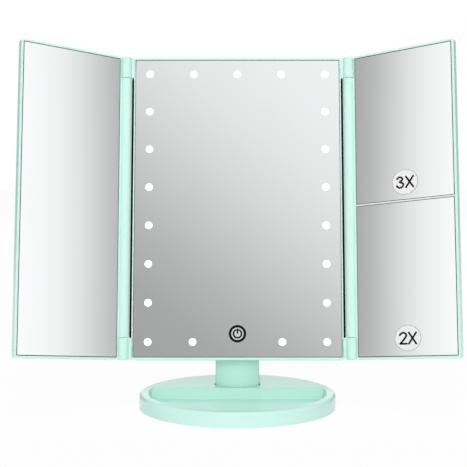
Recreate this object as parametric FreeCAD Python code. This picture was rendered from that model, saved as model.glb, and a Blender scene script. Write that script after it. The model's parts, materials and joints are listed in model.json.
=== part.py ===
import FreeCAD, Part
import math
import os
from FreeCAD import Vector

# Three-panel lighted vanity mirror on an oval tray base. Millimetres, +Z up, the viewer stands on -Y.
# The origin is the centre of the base on the table. Head pieces are drawn upright in head
# coordinates (X across, Y from the glass backwards, Z up from the head's lower edge) and wing pieces
# in wing coordinates (X outwards from the hinge axis, Y backwards from the rim); both are placed last.

# ---------------------------------------------------------------- fits and clearances
RUN_GAP = 0.05          # radial gap of a pin that turns in its bore
GLASS_GAP = 0.15        # gap round a glass in its pocket
SLIDE_GAP = 0.3         # gap round a sliding or swinging piece
TAPE = 0.2              # double-sided adhesive tape

# ---------------------------------------------------------------- base
BASE_LENGTH = 148.0
BASE_DEPTH = 126.0
BASE_TOP = 11.8         # deck and rim above the table
FOOT_REVEAL = 0.8       # the feet lift the base by this much
BASE_WALL = 2.0
DECK = 2.0
PLATE = 1.2             # bottom plate
RIM = 7.0               # flat rim round the tray
RIM_ROUND = 2.5
TRAY_EDGE_Y = 12.0      # straight back edge of the tray
TRAY_FLOOR = 1.2
TRAY_FILLET = 1.0
FOOT_RADIUS = 5.0
FOOT_SEAT = 0.4         # how deep a foot pad sits in the bottom plate
FOOT_INSET_X = 28.0     # foot centres from the ends of the base
FOOT_INSET_Y = 27.0     # and from its front and back
WEIGHT_THICKNESS = 5.0
WEIGHT_GAP = 2.5        # weight to base wall
SIDE_SCREW_INSET = 16.0 # plate screws from the ends of the base
SIDE_SCREW_BEHIND = 8.0 # and behind the tray's edge
REAR_SCREW_INSET = 11.0

# ---------------------------------------------------------------- neck and tilt hinge
NECK_WIDTH = 35.0
NECK_DEPTH = 14.0
NECK_BULGE = 7.0        # how far the rounded front stands ahead of its corners
NECK_WALL = 3.0
NECK_SLOT = 0.4         # groove between the neck and the deck
FLANGE = 3.0
FLANGE_WIDTH = 52.0
FLANGE_DROP = 4.6       # top of the flange below the deck's top
FLANGE_BACK = 10.0      # flange beyond the neck's back
PIVOT_Y = 22.5          # tilt axis behind the base's centre
PIVOT_Z = 39.2
BARREL_RADIUS = 7.0
TILT_PIN_RADIUS = 2.0
TILT_ANGLE = 13.5       # head leans back by this much
FRICTION_WASHER = 1.5
SPRING_WASHER = 1.3
WASHER_RADIUS = 6.0
NUT_FLATS = 7.0
NUT_THICKNESS = 3.2
PIN_HEAD_RADIUS = 3.6
PIN_HEAD = 2.4

# ---------------------------------------------------------------- head, centre panel
GLASS_WIDTH = 158.3
GLASS_HEIGHT = 230.9
GLASS = 2.0
RIM_SIDE = 1.15         # frame beside the glass, beyond the pocket gap
RIM_TOP = 1.7
RIM_BOTTOM = 2.0
RIM_PROUD = 0.2         # frame stands ahead of the glass
FRAME_DEPTH = 9.0       # glass plane to the joint with the rear cover
CORNER = 2.0
EDGE_ROUND = 0.5
DIFFUSER = 1.2
BORDER = 26.0           # width of the diffuser's border
LEDGE = 3.0             # width of the frame's ledge behind the glass
LEDGE_DEPTH = 2.8
BOARD = 1.2
BOARD_WIDTH = 10.0
CARRIER = 1.2
PIVOT_ROOM = 3.5        # tilt barrel to the notch's front wall
PIVOT_ABOVE_EDGE = 8.3

# ---------------------------------------------------------------- lights and touch switch
LED_INSET = 11.35       # light columns from the glass's sides
LED_TOP_INSET = 11.4
LED_BOTTOM_INSET = 11.7
LED_ROWS = 8
LED_COLUMNS = 5
WINDOW_RADIUS = 2.8
CHIP_WIDTH = 3.5
CHIP_HEIGHT = 2.8
CHIP = 1.3
TOUCH_HEIGHT = 17.9     # switch above the glass's lower edge
TOUCH_RADIUS = 6.6
TOUCH_LINE = 1.9
SYMBOL_RADIUS = 3.7
SYMBOL_LINE = 1.25
PRINT = 0.1

# ---------------------------------------------------------------- rear cover, battery bay
COVER = 2.0
HUMP_SIDE_ROOM = 17.8   # room each side of the battery bay
HUMP_TOP = 4.8          # hump above the bay
HUMP_WALL = 2.0
HUMP_CORNER = 6.0
WASHER_PLAY = 0.2
NOTCH_GAP = 1.5         # neck barrel to the notch's roof
LUG = 6.0
CELL_RADIUS = 7.1
CELL_LENGTH = 49.0
CELLS = 4
CELL_GAP = 0.8          # between neighbouring cells, and from a cell to the lid
CELL_PLAY = 0.1         # cell to the bay's floor
BAY_ABOVE_NOTCH = 8.2   # room for the leads between the notch's roof wall and the bay
CONTACT = 1.6           # room for a contact at each end of a cell
CONTACT_PLATE = 0.4
BAY_FLOOR = 1.2
BAY_WALL = 2.0
TONGUE = 1.3            # width of the door's tongue
TONGUE_THICKNESS = 0.6
USB_WIDTH = 7.5
USB_HEIGHT = 2.6
USB_LENGTH = 5.6
USB_Z = 45.0
CONTROL_WIDTH = 15.0
CONTROL_HEIGHT = 36.0
CONTROL_STANDOFF = 4.0  # rear cover's joint to the control board's front
POST_RADIUS = 2.2
BOARD_SCREW_RADIUS = 0.9
BOARD_SCREW_HEAD = 1.8
WIRE_RADIUS = 0.5
WIRE_BEND = 1.6
SCREW_RADIUS = 1.25
SCREW_HEAD_RADIUS = 2.4
BOSS_RADIUS = 3.0

# ---------------------------------------------------------------- wings
HINGE_GAP = 1.55        # frame's side to the hinge barrel
HINGE_AHEAD = 0.6       # hinge axis ahead of the glass plane
HINGE_RADIUS = 4.0
HINGE_PIN_RADIUS = 1.25
KNUCKLE = 16.7
KNUCKLE_GAP = 0.3
PIN_BITE = 7.5          # pin length inside the wing's barrel
WING_MEET = 0.5         # half the gap between the closed wings
WING_OPEN = 32.0        # wings swung forward of flat
WING_AIR = 0.6          # behind the deepest glass
WING_BACK = 1.6
WING_INNER_RIM = 1.0    # wing's rim beside the hinge
WING_RIM = 2.0
WING_RECESS = 0.2       # wing glass below its rim
STRIP = 1.35            # black strip on the frame beside the barrel
DIVIDER = 1.2
BADGE_HALF_HEIGHT = 9.5
BADGE_HALF_WIDTH = 10.3  # wider than high, so that it looks round with the wing open
BADGE_X = 45.4
BADGE_ABOVE_EDGE = 13.4
BULGE_3X = 1.6          # silvered back of the stronger magnifier, at its middle
BULGE_2X = 1.2

# ---------------------------------------------------------------- worked out from the sizes above
DECK_UNDER = BASE_TOP - DECK
PLATE_TOP = FOOT_REVEAL + PLATE
TRAY_BOTTOM = PLATE_TOP + TRAY_FLOOR
FLANGE_TOP = BASE_TOP - FLANGE_DROP
PIVOT_NECK = NECK_WIDTH / 2
LUG_FACE = PIVOT_NECK + FRICTION_WASHER + SPRING_WASHER + WASHER_PLAY
FOOT_X = BASE_LENGTH / 2 - FOOT_INSET_X
FOOT_Y = BASE_DEPTH / 2 - FOOT_INSET_Y
FRAME_WIDTH = GLASS_WIDTH + 2 * (RIM_SIDE + GLASS_GAP)
HALF_FRAME = FRAME_WIDTH / 2
FRAME_HEIGHT = RIM_BOTTOM + GLASS_HEIGHT + RIM_TOP
GLASS_TOP = RIM_BOTTOM + GLASS_HEIGHT
LEDGE_Y = GLASS + DIFFUSER + TAPE
BOARD_BACK = LEDGE_Y + LEDGE_DEPTH
CARRIER_BACK = BOARD_BACK + CARRIER
COVER_BACK = FRAME_DEPTH + COVER
PIVOT_BEHIND_GLASS = FRAME_DEPTH + BAY_FLOOR + PIVOT_ROOM + BARREL_RADIUS
NOTCH_ROOF = PIVOT_ABOVE_EDGE + BARREL_RADIUS + NOTCH_GAP
CELL_PITCH = 2 * CELL_RADIUS + CELL_GAP
BAY_HALF = CELLS * CELL_PITCH / 2 + CELL_GAP / 4
BAY_BOTTOM = NOTCH_ROOF + HUMP_WALL + BAY_ABOVE_NOTCH
BAY_TOP = BAY_BOTTOM + CELL_LENGTH + 2 * CONTACT
BAY_FLOOR_Y = FRAME_DEPTH + BAY_FLOOR
CELL_Y = BAY_FLOOR_Y + CELL_PLAY + CELL_RADIUS
HUMP_INNER = CELL_Y + CELL_RADIUS + CELL_GAP + 0.1
HUMP_BACK = HUMP_INNER + HUMP_WALL
HUMP_WIDTH = 2 * (BAY_HALF + BAY_WALL + HUMP_SIDE_ROOM + HUMP_WALL)
HUMP_HEIGHT = BAY_TOP + HUMP_TOP
MIDDLE_Z = RIM_BOTTOM + GLASS_HEIGHT / 2
DIVIDER_LOW = MIDDLE_Z - DIVIDER / 2
DIVIDER_HIGH = MIDDLE_Z + DIVIDER / 2
TOUCH_Z = RIM_BOTTOM + TOUCH_HEIGHT
HINGE_X = HALF_FRAME + HINGE_GAP + HINGE_RADIUS
WING_WIDTH = HINGE_X - WING_MEET
WING_PANEL_INNER = HINGE_RADIUS + SLIDE_GAP
WING_GLASS_INNER = WING_PANEL_INNER + WING_INNER_RIM
WING_GLASS_OUTER = WING_WIDTH - WING_RIM
WING_LEDGE_Y = WING_RECESS + GLASS + TAPE
WING_FRAME_DEPTH = WING_RECESS + GLASS + BULGE_3X + WING_AIR
LED_X = GLASS_WIDTH / 2 - LED_INSET
LED_LOW = RIM_BOTTOM + LED_BOTTOM_INSET
LED_HIGH = GLASS_TOP - LED_TOP_INSET
CONTROL_FRONT = FRAME_DEPTH + CONTROL_STANDOFF
CONTROL_LOW = USB_Z - 15.0
LEAD_Y = CONTROL_FRONT + BOARD / 2


# ---------------------------------------------------------------- shapes used by many pieces
def box(x0, x1, y0, y1, z0, z1):
    """A block between two corners; its two X values may come in either order."""
    return Part.makeBox(abs(x1 - x0), y1 - y0, z1 - z0, Vector(min(x0, x1), y0, z0))


def rod(axis, radius, start, end, across):
    """A cylinder along X, Y or Z from start to end; across gives its other two coordinates."""
    if axis == "X":
        return Part.makeCylinder(radius, end - start, Vector(start, *across), Vector(1, 0, 0))
    if axis == "Y":
        return Part.makeCylinder(radius, end - start, Vector(across[0], start, across[1]), Vector(0, 1, 0))
    return Part.makeCylinder(radius, end - start, Vector(*across, start), Vector(0, 0, 1))


def panel(x0, x1, z0, z1, y0, y1, corner):
    """A plate that faces the viewer, with round corners."""
    shape = box(x0, x1, y0, y1, z0, z1)
    upright = [e for e in shape.Edges if abs(e.tangentAt(e.FirstParameter).y) > 0.99]
    return shape.makeFillet(corner, upright)


def ring(x0, x1, z0, z1, y0, y1, corner, width):
    """A picture-frame plate with this much width on every side."""
    hole = panel(x0 + width, x1 - width, z0 + width, z1 - width, y0 - 1, y1 + 1, corner)
    return panel(x0, x1, z0, z1, y0, y1, corner).cut(hole)


def oval(half_length, half_depth, z0, z1):
    centre = Vector(0, 0, z0)
    if half_length >= half_depth:
        curve = Part.Ellipse(centre, half_length, half_depth)
    else:
        curve = Part.Ellipse(Vector(0, half_depth, z0), Vector(half_length, 0, z0), centre)
    return Part.Face(Part.Wire(curve.toShape())).extrude(Vector(0, 0, z1 - z0))


def round_edges(shape, radius, chosen):
    """Rounds the edges whose box the test picks."""
    return shape.makeFillet(radius, [e for e in shape.Edges if chosen(e.BoundBox)])


def edges_at(y):
    """Picks the edges that lie in the plane at this y."""
    return lambda b: abs(b.YMin - y) < 1e-4 and abs(b.YMax - y) < 1e-4


def mirrored(shape):
    return shape.mirror(Vector(0, 0, 0), Vector(1, 0, 0))


def pair(shape):
    return [shape, mirrored(shape)]


def screw(axis, radius, head_radius, tip, head, end, across):
    """Countersunk screw: its shank runs from tip to head, and the cone from head to end."""
    shank = rod(axis, radius, min(tip, head), max(tip, head), across)
    step = 1 if end > head else -1
    if axis == "Y":
        base = Vector(across[0], head, across[1])
        direction = Vector(0, step, 0)
    else:
        base = Vector(across[0], across[1], head)
        direction = Vector(0, 0, step)
    return shank.fuse(Part.makeCone(radius, head_radius, abs(end - head), base, direction))


def fused(first, *others):
    return first.multiFuse(list(others)).removeSplitter()


# ---------------------------------------------------------------- base pieces
def plate_screw_places():
    x = BASE_LENGTH / 2 - SIDE_SCREW_INSET
    y = TRAY_EDGE_Y + SIDE_SCREW_BEHIND
    return [(x, y), (-x, y), (0.0, BASE_DEPTH / 2 - REAR_SCREW_INSET)]


def flange_screw_places():
    x = FLANGE_WIDTH / 2 - 4
    y = PIVOT_Y + NECK_DEPTH / 2
    return [(s * x, y + dy) for s in (-1, 1) for dy in (-11.0, 5.0)]


def tray_space(inset, back, z0, z1):
    """The half-oval room of the tray, this far inside the base's outline and ending at this y."""
    whole = oval(BASE_LENGTH / 2 - inset, BASE_DEPTH / 2 - inset, z0, z1)
    return whole.common(box(-BASE_LENGTH, BASE_LENGTH, -BASE_DEPTH, back, z0 - 1, z1 + 1))


def neck_outline(offset, z0, z1):
    """The neck's section: a bowed front, straight sides and a flat back."""
    half = NECK_WIDTH / 2 + offset
    back = PIVOT_Y + NECK_DEPTH / 2 + offset
    front = PIVOT_Y - NECK_DEPTH / 2 - offset
    shoulder = front + NECK_BULGE
    left = Vector(-half, shoulder, z0)
    right = Vector(half, shoulder, z0)
    bow = Part.Arc(left, Vector(0, front, z0), right).toShape()
    sides = Part.makePolygon([right, Vector(half, back, z0), Vector(-half, back, z0), left])
    return Part.Face(Part.Wire([bow] + sides.Edges)).extrude(Vector(0, 0, z1 - z0))


def base_tray():
    half_x = BASE_LENGTH / 2
    half_y = BASE_DEPTH / 2
    body = oval(half_x, half_y, FOOT_REVEAL, BASE_TOP)
    body = round_edges(body, RIM_ROUND, lambda b: b.ZMin > BASE_TOP - 1e-3)
    room = oval(half_x - BASE_WALL, half_y - BASE_WALL, FOOT_REVEAL - 1, DECK_UNDER)
    room = room.cut(tray_space(RIM - BASE_WALL, TRAY_EDGE_Y + BASE_WALL, PLATE_TOP, DECK_UNDER))
    for x, y in plate_screw_places():
        room = room.cut(rod("Z", BOSS_RADIUS, PLATE_TOP, DECK_UNDER, (x, y)))
    for x, y in flange_screw_places():
        room = room.cut(rod("Z", BOSS_RADIUS, FLANGE_TOP, DECK_UNDER, (x, y)))
    body = body.cut(room)
    well = tray_space(RIM, TRAY_EDGE_Y, TRAY_BOTTOM, BASE_TOP + 5)
    well = round_edges(well, TRAY_FILLET, lambda b: b.ZMax < TRAY_BOTTOM + 1e-3)
    body = body.cut(well)
    body = body.cut(neck_outline(NECK_SLOT, DECK_UNDER - 1, BASE_TOP + 1))
    for x, y in plate_screw_places():
        body = body.cut(rod("Z", SCREW_RADIUS, PLATE_TOP - 1, DECK_UNDER - 1, (x, y)))
    for x, y in flange_screw_places():
        body = body.cut(rod("Z", SCREW_RADIUS, FLANGE_TOP - 1, DECK_UNDER + 1, (x, y)))
    return body


def base_plate():
    inset = BASE_WALL + 0.2
    plate = oval(BASE_LENGTH / 2 - inset, BASE_DEPTH / 2 - inset, FOOT_REVEAL, PLATE_TOP)
    for x, y in foot_places():
        plate = plate.cut(rod("Z", FOOT_RADIUS, 0, FOOT_REVEAL + FOOT_SEAT, (x, y)))
    for x, y in plate_screw_places():
        hole = Part.makeCone(SCREW_HEAD_RADIUS, SCREW_RADIUS, PLATE, Vector(x, y, FOOT_REVEAL))
        plate = plate.cut(hole)
    return plate


def foot_places():
    return [(sx * FOOT_X, sy * FOOT_Y) for sx in (-1, 1) for sy in (-1, 1)]


def foot_pads():
    return [rod("Z", FOOT_RADIUS, 0, FOOT_REVEAL + FOOT_SEAT, place) for place in foot_places()]


def plate_screws():
    return [
        screw("Z", SCREW_RADIUS, SCREW_HEAD_RADIUS, DECK_UNDER - 2, PLATE_TOP, FOOT_REVEAL, place)
        for place in plate_screw_places()
    ]


def base_weights():
    """Two steel plates on the bottom plate, one each side of the neck."""
    inset = BASE_WALL + WEIGHT_GAP
    top = PLATE_TOP + WEIGHT_THICKNESS
    slab = oval(BASE_LENGTH / 2 - inset, BASE_DEPTH / 2 - inset, PLATE_TOP, top)
    inner = FLANGE_WIDTH / 2 + 2
    slab = slab.common(box(inner, BASE_LENGTH, TRAY_EDGE_Y + BASE_WALL + 2, BASE_DEPTH, 0, BASE_TOP))
    for x, y in plate_screw_places():
        slab = slab.cut(rod("Z", BOSS_RADIUS + 0.6, 0, BASE_TOP, (x, y)))
    return pair(slab)


def neck_post():
    foot = FLANGE_TOP - FLANGE
    post = neck_outline(0, foot, PIVOT_Z)
    post = round_edges(post, 1.2, lambda b: b.ZLength > 20)
    barrel = rod("X", BARREL_RADIUS, -PIVOT_NECK, PIVOT_NECK, (PIVOT_Y, PIVOT_Z))
    front = TRAY_EDGE_Y + BASE_WALL + 0.4
    back = PIVOT_Y + NECK_DEPTH / 2 + FLANGE_BACK
    flange = box(-FLANGE_WIDTH / 2, FLANGE_WIDTH / 2, front, back, foot, FLANGE_TOP)
    body = fused(post, barrel, flange)
    half = NECK_WIDTH / 2 - NECK_WALL
    hollow_front = PIVOT_Y - NECK_DEPTH / 2 + NECK_WALL + 2
    hollow_back = PIVOT_Y + NECK_DEPTH / 2 - NECK_WALL
    top = PIVOT_Z - BARREL_RADIUS - 1
    body = body.cut(box(-half, half, hollow_front, hollow_back, foot - 1, top))
    body = body.cut(rod("X", TILT_PIN_RADIUS + RUN_GAP, -NECK_WIDTH, NECK_WIDTH, (PIVOT_Y, PIVOT_Z)))
    for x, y in flange_screw_places():
        body = body.cut(rod("Z", SCREW_RADIUS, foot - 1, FLANGE_TOP + 1, (x, y)))
    return body


def neck_screws():
    foot = FLANGE_TOP - FLANGE
    screws = []
    for x, y in flange_screw_places():
        shank = rod("Z", SCREW_RADIUS, foot - 0.5, DECK_UNDER, (x, y))
        head = rod("Z", SCREW_HEAD_RADIUS, foot - 1.6, foot, (x, y))
        screws.append(shank.fuse(head).removeSplitter())
    return screws


# ---------------------------------------------------------------- tilt hinge, in head coordinates
def pivot_rod(radius, x0, x1):
    return rod("X", radius, x0, x1, (PIVOT_BEHIND_GLASS, PIVOT_ABOVE_EDGE))


def friction_washers():
    disc = pivot_rod(WASHER_RADIUS, PIVOT_NECK, PIVOT_NECK + FRICTION_WASHER)
    disc = disc.cut(pivot_rod(TILT_PIN_RADIUS + RUN_GAP, PIVOT_NECK - 1, PIVOT_NECK + 5))
    return pair(disc)


def spring_washers():
    disc = pivot_rod(WASHER_RADIUS, LUG_FACE - SPRING_WASHER, LUG_FACE)
    return pair(disc.cut(pivot_rod(TILT_PIN_RADIUS, LUG_FACE - 5, LUG_FACE + 1)))


def tilt_pin():
    outer = LUG_FACE + LUG
    shank = pivot_rod(TILT_PIN_RADIUS, -outer - 0.5, outer + NUT_THICKNESS + 1)
    head = pivot_rod(PIN_HEAD_RADIUS, -outer - PIN_HEAD, -outer)
    slot = box(-outer - PIN_HEAD - 1, -outer - PIN_HEAD + 1, PIVOT_BEHIND_GLASS - 0.5,
               PIVOT_BEHIND_GLASS + 0.5, 0, 2 * PIVOT_ABOVE_EDGE)
    return fused(shank, head).cut(slot)


def tilt_nut():
    outer = LUG_FACE + LUG
    circle = NUT_FLATS / 2 / math.cos(math.pi / 6)
    corners = []
    for i in range(7):
        turn = math.pi / 3 * i
        y = PIVOT_BEHIND_GLASS + circle * math.sin(turn)
        corners.append(Vector(outer, y, PIVOT_ABOVE_EDGE + circle * math.cos(turn)))
    hexagon = Part.Face(Part.makePolygon(corners)).extrude(Vector(NUT_THICKNESS, 0, 0))
    return hexagon.cut(pivot_rod(TILT_PIN_RADIUS, outer - 1, outer + 10))


# ---------------------------------------------------------------- centre panel
def led_places():
    """Five lights along the top, two columns down the sides, and none above the touch switch."""
    rise = (LED_HIGH - LED_LOW) / (LED_ROWS - 1)
    step = 2 * LED_X / (LED_COLUMNS - 1)
    places = []
    for row in range(LED_ROWS):
        z = LED_LOW + row * rise
        for column in range(LED_COLUMNS):
            x = column * step - LED_X
            at_side = column in (0, LED_COLUMNS - 1)
            at_top = row == LED_ROWS - 1
            at_bottom = row == 0 and abs(x) > 1
            if at_side or at_top or at_bottom:
                places.append((x, z))
    return places


def cover_screw_places():
    x = HALF_FRAME - RIM_SIDE - GLASS_GAP - BOSS_RADIUS
    return [(s * x, FRAME_HEIGHT * part) for s in (-1, 1) for part in (0.13, 0.5, 0.87)]


def front_frame():
    half_glass = GLASS_WIDTH / 2 + GLASS_GAP
    low = RIM_BOTTOM - GLASS_GAP
    high = GLASS_TOP + GLASS_GAP
    body = panel(-HALF_FRAME, HALF_FRAME, 0, FRAME_HEIGHT, -RIM_PROUD, FRAME_DEPTH, CORNER)
    body = round_edges(body, EDGE_ROUND, edges_at(-RIM_PROUD))
    body = body.cut(box(-half_glass, half_glass, -5, LEDGE_Y, low, high))
    opening = panel(LEDGE - half_glass, half_glass - LEDGE, low + LEDGE, high - LEDGE, 0, FRAME_DEPTH, 2)
    body = body.cut(opening)
    rear = box(-half_glass, half_glass, BOARD_BACK, FRAME_DEPTH + 5, low, high)
    body = body.cut(rear)
    pieces = []
    for x, z in cover_screw_places():
        post = rod("Y", BOSS_RADIUS, LEDGE_Y, CARRIER_BACK, (x, z))
        web = box(x, math.copysign(half_glass, x), LEDGE_Y, CARRIER_BACK, z - BOSS_RADIUS, z + BOSS_RADIUS)
        pieces += [post, web]
    for side in (-1, 1):
        for z in (0, FRAME_HEIGHT - KNUCKLE):
            pieces.append(knuckle(side, z))
            lug = box(side * HINGE_X, side * (HALF_FRAME - 1), -RIM_PROUD, HINGE_RADIUS - HINGE_AHEAD - 0.4,
                      z + 0.6, z + KNUCKLE - 0.6)
            pieces.append(lug)
    body = fused(body, *pieces)
    for x, z in cover_screw_places():
        body = body.cut(rod("Y", SCREW_RADIUS, LEDGE_Y + 1, CARRIER_BACK + 1, (x, z)))
    for side in (-1, 1):
        for low_z, high_z in hinge_pin_spans():
            body = body.cut(rod("Z", HINGE_PIN_RADIUS, low_z, high_z, (side * HINGE_X, -HINGE_AHEAD)))
    return body


def knuckle(side, z):
    """A fixed hinge knuckle with its free end rounded."""
    body = rod("Z", HINGE_RADIUS, z, z + KNUCKLE, (side * HINGE_X, -HINGE_AHEAD))
    free_end = z if z < FRAME_HEIGHT / 2 else z + KNUCKLE
    return round_edges(body, 1.5, lambda b: b.ZLength < 0.01 and abs(b.ZMin - free_end) < 0.01)


def hinge_pin_spans():
    low = (KNUCKLE / 5, KNUCKLE + KNUCKLE_GAP + PIN_BITE)
    return [low, (FRAME_HEIGHT - low[1], FRAME_HEIGHT - low[0])]


def hinge_pins():
    return [
        rod("Z", HINGE_PIN_RADIUS, low, high, (side * HINGE_X, -HINGE_AHEAD))
        for side in (-1, 1)
        for low, high in hinge_pin_spans()
    ]


def buffer_strips():
    low = KNUCKLE + KNUCKLE_GAP
    strip = box(HALF_FRAME, HALF_FRAME + STRIP, 0, FRAME_DEPTH - 2, low, FRAME_HEIGHT - low)
    return pair(strip)


def centre_mirror():
    half = GLASS_WIDTH / 2
    glass = panel(-half, half, RIM_BOTTOM, GLASS_TOP, 0, GLASS, 1)
    for place in led_places():
        glass = glass.cut(rod("Y", WINDOW_RADIUS + RUN_GAP, -1, GLASS + 1, place))
    return glass


def light_diffuser():
    """An opal border behind the glass, with a round stud through the glass at every light."""
    half = GLASS_WIDTH / 2
    sheet = ring(-half, half, RIM_BOTTOM, GLASS_TOP, GLASS, GLASS + DIFFUSER, 1, BORDER)
    studs = [rod("Y", WINDOW_RADIUS, 0, GLASS + 0.1, place) for place in led_places()]
    return fused(sheet, *studs)


def mirror_tape():
    half = GLASS_WIDTH / 2
    return ring(-half, half, RIM_BOTTOM, GLASS_TOP, GLASS + DIFFUSER, LEDGE_Y, 1, LEDGE - 0.4)


def led_board():
    margin = BOARD_WIDTH / 2
    return ring(-LED_X - margin, LED_X + margin, LED_LOW - margin, LED_HIGH + margin,
                BOARD_BACK - BOARD, BOARD_BACK, 1, BOARD_WIDTH)


def led_chips():
    front = BOARD_BACK - BOARD - CHIP
    return [
        box(x - CHIP_WIDTH / 2, x + CHIP_WIDTH / 2, front, BOARD_BACK - BOARD,
            z - CHIP_HEIGHT / 2, z + CHIP_HEIGHT / 2)
        for x, z in led_places()
    ]


def led_carrier():
    """White plate that carries the light board and reflects stray light forward."""
    half = GLASS_WIDTH / 2
    plate = panel(-half, half, RIM_BOTTOM, GLASS_TOP, BOARD_BACK, CARRIER_BACK, 1)
    for x, z in cover_screw_places():
        room = BOSS_RADIUS + 0.2
        slot = box(x, math.copysign(half + 1, x), 0, FRAME_DEPTH, z - room, z + room)
        plate = plate.cut(fused(rod("Y", room, 0, FRAME_DEPTH, (x, z)), slot))
    for x, z in wire_holes():
        plate = plate.cut(rod("Y", 2 * WIRE_RADIUS, 0, FRAME_DEPTH, (x, z)))
    return plate


def wire_holes():
    """Where the light board's two leads pass through the carrier, behind its lower strip."""
    first = BAY_HALF + BAY_WALL + 3.5
    return [(first, LED_LOW), (first + 4, LED_LOW)]


def touch_pad():
    """Copper electrode behind the glass's border."""
    return rod("Y", TOUCH_RADIUS - 1.6, GLASS + DIFFUSER, GLASS + DIFFUSER + TAPE, (0, TOUCH_Z))


def touch_contact():
    """Conducting foam block between the electrode and the carrier."""
    half = 2.0
    low = max(TOUCH_Z - half, LED_LOW + BOARD_WIDTH / 2 + 0.3)
    return box(-half, half, GLASS + DIFFUSER + TAPE, BOARD_BACK, low, low + 2 * half)


def touch_mark():
    """Printed switch mark: a broad ring round a broken circle with an upright bar."""
    def hoop(radius, line):
        outer = rod("Y", radius, -PRINT, 0, (0, TOUCH_Z))
        return outer.cut(rod("Y", radius - line, -PRINT - 1, 1, (0, TOUCH_Z)))
    circle = hoop(SYMBOL_RADIUS, SYMBOL_LINE)
    gap = SYMBOL_LINE * 0.85
    circle = circle.cut(box(-gap, gap, -1, 1, TOUCH_Z, TOUCH_Z + 2 * SYMBOL_RADIUS))
    bar_low = TOUCH_Z + SYMBOL_RADIUS * 0.1
    bar = box(-SYMBOL_LINE / 2, SYMBOL_LINE / 2, -PRINT, 0, bar_low, TOUCH_Z + SYMBOL_RADIUS * 1.12)
    return [hoop(TOUCH_RADIUS, TOUCH_LINE), circle, bar]


# ---------------------------------------------------------------- rear cover and what it holds
def post_places():
    x = BAY_HALF + BAY_WALL + 6
    return [(x, USB_Z - 11.5), (x, USB_Z + 17.5)]


def rear_cover():
    back = COVER_BACK
    plate = panel(-HALF_FRAME, HALF_FRAME, 0, FRAME_HEIGHT, FRAME_DEPTH, back, CORNER)
    plate = round_edges(plate, 1.4, edges_at(back))
    half = HUMP_WIDTH / 2
    edge = 0.6
    hump = panel(-half, half, edge, HUMP_HEIGHT, FRAME_DEPTH + 0.5, HUMP_BACK, HUMP_CORNER)
    hump = round_edges(hump, 2.5, edges_at(HUMP_BACK))
    body = fused(plate, hump)
    room = panel(HUMP_WALL - half, half - HUMP_WALL, edge + HUMP_WALL, HUMP_HEIGHT - HUMP_WALL,
                 FRAME_DEPTH - 1, HUMP_INNER, HUMP_CORNER - HUMP_WALL)
    bay_x = BAY_HALF + BAY_WALL
    room = room.cut(box(-bay_x, bay_x, 0, HUMP_BACK, BAY_BOTTOM - BAY_WALL, HUMP_HEIGHT))
    lug_x = LUG_FACE + LUG
    room = room.cut(box(-lug_x, lug_x, 0, HUMP_BACK, -5, NOTCH_ROOF + HUMP_WALL))
    body = body.cut(room)
    # battery bay, open at the back, with a rebate for the door's tongues
    body = body.cut(box(-BAY_HALF, BAY_HALF, BAY_FLOOR_Y, HUMP_BACK + 5, BAY_BOTTOM, BAY_TOP))
    opening = BAY_HALF + SLIDE_GAP
    body = body.cut(box(-opening, opening, HUMP_INNER, HUMP_BACK + 5, BAY_BOTTOM - 1, HUMP_HEIGHT + 5))
    rebate = opening + TONGUE
    body = body.cut(box(-rebate, rebate, HUMP_INNER, HUMP_INNER + TONGUE_THICKNESS + 0.4,
                        BAY_BOTTOM - 1, HUMP_HEIGHT + 5))
    # notch for the neck, pin bore through the lugs
    body = body.cut(box(-LUG_FACE, LUG_FACE, FRAME_DEPTH + BAY_FLOOR, HUMP_BACK + 5, -5, NOTCH_ROOF))
    body = body.cut(pivot_rod(TILT_PIN_RADIUS, -lug_x - 1, lug_x + 1))
    # power inlet and posts for the control board
    face = CONTROL_FRONT + BOARD
    low = USB_Z - USB_WIDTH / 2 - SLIDE_GAP
    body = body.cut(box(half - HUMP_WALL - 1, half + 1, face - SLIDE_GAP, face + USB_HEIGHT + SLIDE_GAP,
                        low, low + USB_WIDTH + 2 * SLIDE_GAP))
    posts = [rod("Y", POST_RADIUS, face, HUMP_INNER + 0.5, place) for place in post_places()]
    body = fused(body, *posts)
    for place in post_places():
        body = body.cut(rod("Y", BOARD_SCREW_RADIUS, face - 1, face + 6, place))
    for x in (cell_columns()[0], cell_columns()[-1]):
        hole = rod("Z", 2 * WIRE_RADIUS, BAY_BOTTOM - BAY_WALL - 1, BAY_BOTTOM + 1, (x, LEAD_Y))
        body = body.cut(hole)
    for x, z in cover_screw_places():
        base = Vector(x, FRAME_DEPTH, z)
        body = body.cut(Part.makeCone(SCREW_RADIUS, SCREW_HEAD_RADIUS, COVER, base, Vector(0, 1, 0)))
    return body


def cover_screws():
    return [
        screw("Y", SCREW_RADIUS, SCREW_HEAD_RADIUS, LEDGE_Y + 1.2, FRAME_DEPTH, COVER_BACK, place)
        for place in cover_screw_places()
    ]


def battery_door():
    """Flat lid with a tongue along each side, three grip ribs, and a lip over the end of the bay."""
    low = BAY_BOTTOM - 1 + SLIDE_GAP
    inner = HUMP_INNER + 0.2
    lid = box(-BAY_HALF, BAY_HALF, inner, HUMP_BACK, low, HUMP_HEIGHT)
    lid = lid.makeFillet(0.8, [e for e in lid.Edges if abs(e.BoundBox.ZMin - HUMP_HEIGHT) < 1e-3
                               and e.BoundBox.YMin > HUMP_BACK - 1e-3])
    reach = BAY_HALF + TONGUE
    tongue = box(-reach, reach, inner, inner + TONGUE_THICKNESS, low, HUMP_HEIGHT)
    lid = fused(lid, tongue)
    for i in range(3):
        z = HUMP_HEIGHT - 10 - 3 * i
        lid = lid.cut(rod("X", 0.8, -9, 9, (HUMP_BACK + 0.3, z)))
    return lid


def cell_columns():
    return [(i - (CELLS - 1) / 2) * CELL_PITCH for i in range(CELLS)]


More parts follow.
